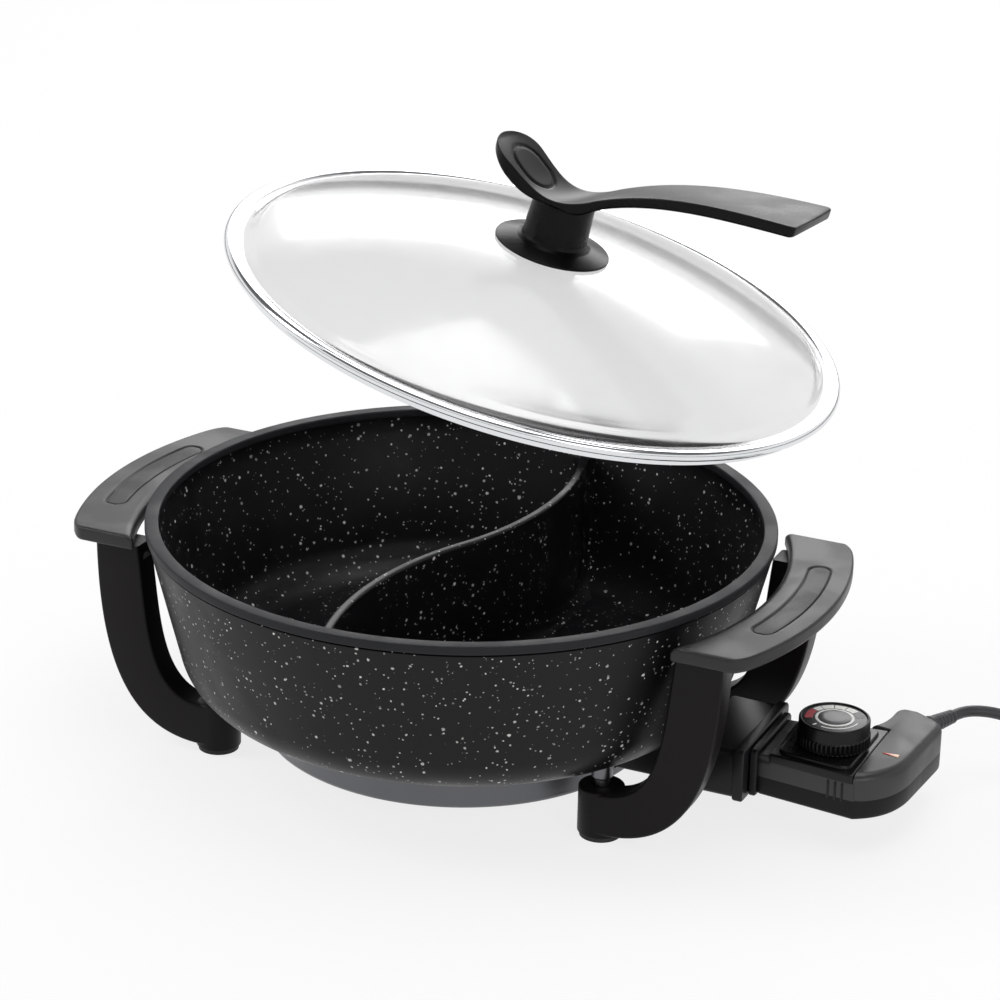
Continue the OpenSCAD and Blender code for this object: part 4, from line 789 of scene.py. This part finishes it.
def half_at(x):
    """Half the width of the body at x, between the faceplate and the far corner."""
    return CTL_HALF + (KINK_Y - CTL_HALF) * (x - SHELL_X) / (KINK_X - SHELL_X)


def make_control_shells():
    """Lower shell: the outline between its rounded bottom edge and the seam.
    Upper shell: the outline up to the deck, and beyond the deck up to a wide
    rounding; its far block is the part of the outline past the deck."""
    line = control_outline()
    seam = 0.08
    piece("control_lower_shell", "control", CONTROL_PLASTIC,
          [(stack(line, edge_levels(CTL_LOW, SPLIT_Z, 2.4, seam)), CAPPED)], ["control_base"], 30)
    near = np.array([[SHELL_X, -CTL_HALF], [KINK_X, -KINK_Y], [KINK_X, KINK_Y - 0.4], [OUTLET_X - 9, KINK_Y + 0.4],
                     [SHELL_X, CTL_HALF]])
    neck_x, near_x = DECK_X + 0.5, DECK_END + 0.3
    neck = np.array([[SHELL_X, -CTL_HALF], [neck_x, -half_at(neck_x)], [neck_x, half_at(neck_x)], [SHELL_X, CTL_HALF]])
    far = np.vstack([[[near_x, -half_at(near_x)]], line[13:-3], [[near_x, KINK_Y + 1.5]]])
    inset = np.where(far[:, 1] < KINK_Y, 1.0, 0.4 + 0.6 * step_between(far[:, 0], OUTLET_X + 3, OUTLET_X + 12))
    rise = []
    for z, d in edge_levels(SPLIT_Z, CTL_TOP, seam, 4.6, 9):
        row = shrunk(far, d * inset)
        row[[0, -1], 0] = near_x
        rise.append(np.c_[row, np.full(len(far), z)])
    grids = [stack(near, edge_levels(SPLIT_Z, DECK_LOW, seam, 0)),
             stack(neck, edge_levels(DECK_LOW - 2, NECK_TOP, 0, 0.8)), np.stack(rise)]
    piece("control_upper_shell", "control", TOP_PLASTIC, [(p, CAPPED) for p in grids],
          ["control_cover"], 26)


def make_ribs():
    """Three raised lines on the front side: thin upright bars, drawn in at their
    ends, that follow the side's slant."""
    lean = math.atan((KINK_Y - CTL_HALF) / (KINK_X - SHELL_X))
    z = np.array([[28.4, 28.8, 33, DECK_LOW - 1.4, DECK_LOW - 1]]).T
    u, v = np.moveaxis(rect_ring(1.3, 0.9, 0.42, 4), -1, 0) * np.array([[0.5, 1, 1, 1, 0.5]]).T[None]
    grids = []
    for x in (DIAL_X + 7.4 + i * 4 for i in range(3)):
        y = -half_at(x) - u * math.sin(lean) + v * math.cos(lean)
        grids.append((grid(x + u * math.cos(lean) + v * math.sin(lean), y, z), CAPPED))
    piece("control_grip_ribs", "control", HOUSING_PLASTIC, grids)


def make_faceplate():
    """Faceplate against the socket: rounded rectangles across X with soft edges."""
    half, low, top = PLATE_HALF, CTL_LOW, 45.8
    rows = [(CTL_X, half - 0.6, low + 0.6, 45.2, 1.6), (CTL_X + 0.6, half, low, top, 2),
            (SHELL_X - 0.9, half, low, top, 2), (SHELL_X, half - 0.8, low + 0.8, 45, 1.4)]
    piece("control_front_plate", "control", PLATE_PLASTIC, [(x_loft(rows), CAPPED)],
          ["control_faceplate"], 30)


def rounded_outline(corners, r, n=5):
    """A closed outline whose corners are all rounded to r."""
    c = np.asarray(corners, float)
    return np.vstack([rounded(c[i - 1], c[i], c[(i + 1) % len(c)], r, n) for i in range(len(c))])


def make_deck():
    """Black deck: a slab with flared sides and a rounded lip, and on it a
    lower-cornered platform for the dial."""
    def plan(d):
        """The deck's corners, moved inwards by d."""
        x0, x1 = DECK_X + d, DECK_END - d
        y0, y1 = (half_at(x) + DECK_LAP - d for x in (x0, x1))
        return [[x0, -y0], [x1, -y1], [x1, y1], [x0, y0]]
    slab = stack(rounded_outline(plan(0), 1.2), edge_levels(DECK_LOW, DECK_TOP - 1.7, 0.4, 1.0))
    table = stack(rounded_outline(plan(3.2), 5), edge_levels(DECK_LOW + 1, DECK_TOP, 0, 1.1))
    piece("dial_deck_slab", "control", DECK_PLASTIC, [(slab, CAPPED), (table, CAPPED)],
          ["dial_deck"], 40)


def make_dial():
    """Dial: the radius depends on angle and height. Upwards it has a fluted
    skirt, a plain band and a rounded rim round a sunken face."""
    flutes, depth, low, face_z = 48, 0.75, 47.4, DIAL_TOP - 0.8
    n = flutes * 8
    a = np.arange(n) * 2 * np.pi / n
    edge = soft_profile([(DIAL_R - 2.5, low, 0), (DIAL_R - 0.3, low, 0.3), (DIAL_R, 48, 0.2), (DIAL_R, 53.4, 0.2),
                         (DIAL_R - 0.5, 54.2, 0.2), (DIAL_R - 0.5, DIAL_TOP, 0.9), (DIAL_R - 2, DIAL_TOP, 0.5),
                         (DIAL_R - 2.2, face_z, 0), (0, face_z, 0)], 5)
    r, z = np.vstack([[[0, low]], edge]).T[:, :, None]
    cut = step_between(z, 47.2, 47.9) * (1 - step_between(z, 52.6, 54)) * (r > DIAL_R - 1)
    wave = np.clip(np.cos(a * flutes) * 1.6, -1, 1) * 0.5 + 0.5
    r = r - depth * cut * (1 - wave)
    piece("dial_knob", "dial", DIAL_PLASTIC,
          [(grid(DIAL_X + r * np.cos(a), r * np.sin(a), z), POLES)], ["dial"], 40)


def arc_plate(r0, r1, a0, a1, low, high, n=24):
    """A thin plate between two radii and two angles about the dial's axis."""
    a = np.radians(np.linspace(a0, a1, n))[:, None]
    r, z = np.array([[r0, low], [r1, low], [r1, high], [r0, high]]).T
    return grid(DIAL_X + r * np.cos(a), r * np.sin(a), z)


def make_dial_face():
    """Face of the dial: a black disc, a white ring round a grey cap, coloured
    fields along the back, and a white arc with a tick in front."""
    z, turn, centre = DIAL_TOP - 0.8, 24.6, (DIAL_X, 0)
    disc = soft_profile([(0, z - 0.4, 0), (17, z - 0.4, 0), (17, z + 0.1, 0.05), (0, z + 0.1, 0)])
    cap = soft_profile([(0, z, 0), (8.8, z, 0), (8.8, z + 0.7, 0.4), (6, z + 0.95, 2), (0, z + 1.0, 0)])
    ring = [[8.75, z], [10.3, z], [10.3, z + 0.35], [10.0, z + 0.45], [9.1, z + 0.45], [8.75, z + 0.35]]

    def printed(r0, r1, spans, n=24):
        """Plates between two radii, one for each span of degrees."""
        return [(arc_plate(r0, r1, a + turn, b + turn, z, z + 0.2, n), CAPPED) for a, b in spans]
    for name, material, grids, stands_for in (
            ("dial_disc", DIAL_BLACK, [(revolve(disc, 96, centre), POLES)], ["dial_face"]),
            ("dial_cap", DIAL_CAP, [(revolve(cap, 72, centre), POLES)], ()),
            ("dial_ring", PRINT_WHITE, [(revolve(ring, 96, centre), RING)], ()),
            ("dial_light_fields", PRINT_WHITE, printed(11.5, 15.4, [(31, 56), (59, 84), (87, 112), (114, 133)]), ()),
            ("dial_grey_field", PRINT_GREY, printed(11.5, 15.4, [(2, 29)]), ()),
            ("dial_red_field", PRINT_RED, printed(11.5, 15.6, [(136, 180)]), ()),
            ("dial_front_arc", PRINT_WHITE,
             printed(12.6, 13.3, [(232, 332)], 48) + printed(12.2, 14.6, [(212, 216)], 6), ())):
        piece(name, "dial", material, grids, stands_for)


def make_lens():
    """Indicator lens: a slim wedge with a blunt far end and rounded edges."""
    wedge = rounded_outline([[-6.4, 0], [4.2, -1.8], [4.2, 1.8]], 0.35, 4) + LENS_AT
    lens = stack(wedge, edge_levels(CTL_TOP - 1, CTL_TOP + 0.35, 0, 0.25, 4))
    piece("indicator_wedge", "control", LENS_PLASTIC, [(lens, CAPPED)], ["indicator_lens"])


make_control_shells()
make_lens()
make_ribs()
make_faceplate()
make_deck()
make_dial()
make_dial_face()


# ---- lid ----

def lid_place(p, turn=0.0):
    """Points of the lid's own frame where the lifted lid has them: turned about
    its axis, seated on the rim, tilted about the far axis and swung to its side."""
    def turned(u, v, angle):
        """Two coordinates turned by an angle from the first to the second."""
        return u * math.cos(angle) - v * math.sin(angle), u * math.sin(angle) + v * math.cos(angle)
    x, y = turned(p[..., 0], p[..., 1], turn)
    z, x = turned(p[..., 2] + SEAT_Z - LID_AXIS[1], x - LID_AXIS[0], LID_TILT)
    return grid(*turned(x + LID_AXIS[0], y, LID_SWING), z + LID_AXIS[1])


def glass_middle():
    """Middle line of the glass: a spherical dome, a short shoulder that turns
    down, and a flat edge inside the band."""
    drop = DOME_H - GLASS_T / 2 - SHOULDER_H
    ball = (SHOULDER_R ** 2 + drop ** 2) / (2 * drop)
    r = np.linspace(4, SHOULDER_R, 40)
    dome = np.c_[r, SHOULDER_H + np.sqrt(ball ** 2 - r ** 2) - math.sqrt(ball ** 2 - SHOULDER_R ** 2)]
    side = cubic([[SHOULDER_R, SHOULDER_H], [SHOULDER_R + 3.5, SHOULDER_H - 1.4], [SHOULDER_R + 5, 0],
                  [LID_R - 8.5, 0]], 16)[1:]
    return np.vstack([dome, side, [[LID_R - 1.2, 0]]])


def beside(line, d):
    """The line moved sideways by d."""
    t = np.gradient(line, axis=0)
    t /= np.linalg.norm(t, axis=1)[:, None]
    return line + d * np.c_[-t[:, 1], t[:, 0]]


def make_lid():
    """Glass, its steel band with the lip that drops inside the pot, and the disc
    under the handle, all turned about the lid's axis."""
    mid = glass_middle()
    shell = np.vstack([beside(mid, GLASS_T / 2), beside(mid, -GLASS_T / 2)[::-1]])
    piece("lid_glass_dome", "lid", GLASS, [(lid_place(revolve(shell, 224)), RING)], ["lid_glass"], 50)
    h, lip = BAND_H / 2, RIM_IN_R - 2
    inside_r, flat_h = LID_R - BAND_T - 0.3, h - BAND_T
    a = np.linspace(-1, 1, 15) * np.pi / 2
    band = np.vstack([[[LID_R - 7, flat_h], [inside_r, flat_h], [inside_r, -flat_h], [lip - BAND_T, -flat_h],
                       [lip - BAND_T, -h - 4], [lip, -h - 4], [lip, -h], [lip + 1.5, -h]],
                      np.c_[LID_R - 2.4 + 2.4 * np.cos(a), h * np.sin(a)],
                      [[LID_R - 4.6, h - 0.15], [LID_R - 6.3, h - 0.42], [LID_R - 6.9, h - 0.65]]])
    piece("lid_band", "lid", CHROME, [(lid_place(revolve(band, 256)), RING)], ["lid_rim"], 50)
    d, bore_r = DISC_LOW, 2.8
    disc = soft_profile([(bore_r, d, 0), (POST_R, d - 0.2, 0.5), (DISC_R, d - 0.7, 0.2), (DISC_R, d + 0.2, 0.4),
                         (POST_R + 2.4, d + 2.7, 3), (POST_R + 0.2, d + 3.9, 0.6), (bore_r, d + 3.9, 0)])
    piece("lid_disc_moulding", "lid", HANDLE_PLASTIC, [(lid_place(revolve(disc, 96)), RING)],
          ["lid_disc"], 50)


VALLEY, TIP = np.array([0, VALLEY_Z]), np.array([ARM_REACH, TIP_Z])
THUMB_TOP = VALLEY + [[-THUMB_REACH, 16.3], [-17.6, 8.9], [-9.3, -13.7], [21.8, 7.6]]
ARM_TOP = np.vstack([VALLEY + [[21.8, 7.6], [54.5, 27.5]], TIP + [[-40, -6.4], [0, 0]]])
ARM_LOW = np.vstack([VALLEY + [[30, 6.6], [57.5, 21.2]], TIP + [[-40, -12.6], [2, -5.8]]])
OVAL_X, OVAL_HALF, OVAL_R, OVAL_LEAN = -22.0, 2.7, 11.3, math.cos(math.radians(27.5))


def handle_lines(x):
    """Upper line, lower line and half width of the handle at x: cubic curves for
    the thumb rest and the arm, a fillet over the post below, and half an ellipse
    at the thumb rest's end."""
    top = np.vstack([cubic(THUMB_TOP, 60), cubic(ARM_TOP, 60)[1:]])
    low = np.vstack([cubic(VALLEY + [[1 - THUMB_REACH, 12], [-30, 4.4], [-23, -4.6], [-10, -4.8]], 30),
                     cubic(np.vstack([VALLEY + [[10, -4.8], [17, -4.8], [21, 1.8]], ARM_LOW[:1]]), 30),
                     cubic(ARM_LOW, 60)[1:]])
    side = np.vstack([cubic([[-THUMB_REACH + THUMB_NOSE, THUMB_W / 2], [-16, 17.6], [0, 15.5], [15, 15.5]], 40),
                      cubic([[15, 15.5], [50, 16], [ARM_REACH - 40, TIP_W / 2 - 1.5], [ARM_REACH, TIP_W / 2]], 40)[1:]])
    back = np.clip(1 - (x + THUMB_REACH) / THUMB_NOSE, 0, 1)
    half = np.where(back > 0, THUMB_W / 2 * np.sqrt(1 - back ** 2), np.interp(x, *side.T))
    return np.interp(x, *top.T), np.interp(x, *low.T), half


def make_handle():
    """Handle: at each x a section with a softly dished top, small edge radii and
    drawn-in lower corners, between the two side lines and the plan's half
    width. An oval groove runs round the middle of the thumb rest. Its post is
    turned about the lid's axis."""
    edge, low_edge, dip, cut, end = 0.8, 1.6, 0.7, 0.75, 3
    nose_x = -THUMB_REACH + THUMB_NOSE
    x = np.r_[nose_x - THUMB_NOSE * np.cos(np.linspace(0.04, np.pi / 2, 20)), np.linspace(nose_x, 10, 60)[1:],
              np.linspace(10, ARM_REACH - end, 60)[1:], ARM_REACH - end + end * np.sin(np.linspace(0.2, 1.5, 5))]
    top, low, half = handle_lines(x)
    blunt = 1 - np.sqrt(np.clip(1 - np.clip((x - ARM_REACH + end) / end, 0, 1) ** 2, 0, 1))
    top, low, half = top - 0.9 * blunt, low + 0.9 * blunt, half - 2.6 * blunt
    thick = np.maximum(top - low, 0.6)[:, None]
    aside, down = quarter(6)
    across = np.linspace(-1, 1, 45)
    # share of half width, shift, share of thickness below the top, shift
    right = np.vstack([np.c_[0 * down + 1, -edge * aside, 0 * down, -edge * down][1:],
                       np.c_[0 * down + 1, -low_edge * down, 0 * down + 1, low_edge * aside]])
    rows = np.vstack([np.c_[across, -edge * across, 0 * across, 0 * across], right, (right * [-1, -1, 1, 1])[::-1]])
    y = half[:, None] * rows[:, 0] + rows[:, 1] * np.clip(half / 4, 0, 1)[:, None]
    z = top[:, None] - thick * rows[:, 2] + rows[:, 3] * np.clip(thick / 4, 0, 1)
    flat = (rows[:, 2] == 0) & (rows[:, 3] == 0)
    dish = -dip * (1 - rows[:, 0] ** 2) * flat * step_between(half, 4, 12)[:, None]
    off = np.hypot(np.clip(np.abs(x[:, None] - OVAL_X) / OVAL_LEAN - OVAL_HALF, 0, None), y) - OVAL_R
    groove = -cut * np.exp(-(off / cut) ** 2) * flat
    handle = lid_place(grid(x[:, None], y, z + dish + groove), HANDLE_TURN)
    bore_r, low_z, high_z = 3, DISC_LOW + 3.2, VALLEY_Z - 4.5
    post = soft_profile([(bore_r, low_z, 0), (POST_R + 0.5, low_z, 0.2), (POST_R - 0.1, DISC_LOW + 5.4, 2),
                         (POST_R - 0.9, VALLEY_Z - 6, 0.5), (POST_R - 1.2, high_z, 0), (bore_r, high_z, 0)])
    piece("lid_handle_moulding", "lid", HANDLE_PLASTIC,
          [(handle, CAPPED), (lid_place(revolve(post, 96)), RING)], ["lid_handle"], 42)


def make_thumb_pad():
    """Pad inside the thumb rest's oval: rings of the oval's outline, shrinking to
    the middle, laid on the thumb rest's dished surface."""
    a = np.arange(72) * 2 * np.pi / 72
    share = np.array([[1.0, 0.985, 0.95, 0.8, 0.55, 0.3, 0.02]]).T
    rise = np.array([[-0.35, 0.1, 0.22, 0.24, 0.24, 0.24, 0.24]]).T
    x = OVAL_X + share * OVAL_LEAN * (OVAL_HALF * np.tanh(np.cos(a) * 3) + (OVAL_R - 1) * np.cos(a))
    y = share * (OVAL_R - 1) * np.sin(a)
    top, _, half = handle_lines(x)
    pad = lid_place(grid(x, y, top - 0.7 * (1 - (y / half) ** 2) + rise), HANDLE_TURN)
    piece("thumb_rest_pad", "lid", HANDLE_PAD, [(pad, CAPPED)], ["thumb_inlay"], 50)


make_lid()
make_handle()
make_thumb_pad()


# ---- finishes of the solids that stay ----

FINISHES = ((COVER_METAL, "base_cover"), (HEATER_METAL, "heating_element"), (POST_METAL, "feeler_rod dial_shaft"),
            (SCREW_METAL, "base_cover_screws foot_screws grip_screws control_screws lid_screw"),
            (BRASS, "heater_pins contact_sleeves plug_blades"), (PAD_RUBBER, "foot_pads lid_washer"),
            (SWITCH_PLASTIC, "thermostat_switch"), (LENS_PLASTIC, "pilot_lamp"))
for material, names in FINISHES:
    for name in names.split():
        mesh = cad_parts[name].data
        mesh.materials.clear()
        mesh.materials.append(material)


# ---- floor, light and background ----

def rays(tree):
    """Whether a ray comes from the camera, from a mirror or through glass."""
    seen = tree.nodes.new("ShaderNodeLightPath").outputs
    return [seen[f"Is {kind} Ray"] for kind in ("Camera", "Glossy", "Transmission")]


def make_floor():
    """A wide pale floor whose own colour shows the shadows faintly."""
    m = bpy.data.materials.new("floor")
    m.use_nodes = True
    tree = m.node_tree
    tree.nodes.remove(tree.nodes["Principled BSDF"])
    camera, glossy, through = rays(tree)
    plain = node(tree, "ShaderNodeBsdfDiffuse", {"Color": (0.86, 0.86, 0.86, 1)}).outputs[0]
    white = node(tree, "ShaderNodeEmission", {"Color": (1, 1, 1, 1), "Strength": 1.0}).outputs[0]
    any_ray = maths(tree, "MAXIMUM", camera, maths(tree, "MAXIMUM", glossy, through))
    mix = node(tree, "ShaderNodeMixShader", {0: maths(tree, "MULTIPLY", any_ray, 0.8), 1: plain, 2: white})
    tree.links.new(mix.outputs[0], tree.nodes["Material Output"].inputs["Surface"])
    mesh = bpy.data.meshes.new("floor")
    mesh.from_pydata([(-6, -6, 0), (6, -6, 0), (6, 6, 0), (-6, 6, 0)], [], [(0, 1, 2, 3)])
    mesh.materials.append(m)
    floor = bpy.data.objects.new("floor", mesh)
    bpy.context.scene.collection.objects.link(floor)


def make_world():
    """White where it is seen or looked at through glass. Mirrors show it white
    low down, apart from a narrow dark gap at the horizon, and darker above. A
    plain soft grey where it only lights."""
    world = bpy.data.worlds.new("studio")
    bpy.context.scene.world = world
    world.use_nodes = True
    tree = world.node_tree
    back = tree.nodes["Background"]
    back.inputs["Color"].default_value = (1, 1, 1, 1)
    camera, glossy, through = rays(tree)
    way = tree.nodes.new("ShaderNodeTexCoord").outputs["Generated"]
    up = node(tree, "ShaderNodeSeparateXYZ", {0: way}).outputs[2]
    gap = maths(tree, "MULTIPLY", spread(tree, up, 0.0, 0.03, 0, 1), spread(tree, up, 0.1, 0.16, 1, 0))
    low = maths(tree, "SUBTRACT", 1.0, maths(tree, "MULTIPLY", gap, 0.95))
    high = maths(tree, "SUBTRACT", 1.0, maths(tree, "MULTIPLY", spread(tree, up, 0.46, 0.62, 0, 1), 0.85))
    mirrored = maths(tree, "MULTIPLY", glossy, maths(tree, "MULTIPLY", high, low))
    seen = maths(tree, "MAXIMUM", maths(tree, "MAXIMUM", camera, through), mirrored)
    level = maths(tree, "SUBTRACT", 0.45, maths(tree, "MULTIPLY", glossy, 0.43))
    tree.links.new(maths(tree, "MAXIMUM", seen, level), back.inputs["Strength"])


def lamp(name, at, aim, size, power):
    """A soft rectangular lamp at a place, turned towards another."""
    data = bpy.data.lights.new(name, "AREA")
    data.shape = "RECTANGLE"
    data.size, data.size_y = size
    data.energy = power
    obj = bpy.data.objects.new(name, data)
    bpy.context.scene.collection.objects.link(obj)
    d = (Vector(aim) - Vector(at)).normalized()
    obj.rotation_euler = d.to_track_quat("-Z", "Y").to_euler()
    obj.location = at


make_floor()
make_world()
lamp("key", (-1.8, -0.7, 1.7), (0, 0, 0.1), (0.7, 1.6), 20)
lamp("top", (0.2, 0.3, 2.4), (0.05, 0, 0.1), (1.8, 1.8), 26)
lamp("back", (-0.55, 2.2, 1.2), (0.1, 0, 0.1), (1.7, 0.8), 14)
lamp("fill", (1.7, -1.2, 1.0), (0.05, 0, 0.1), (0.9, 1.2), 6)
bpy.context.scene.view_settings.view_transform = "Standard"
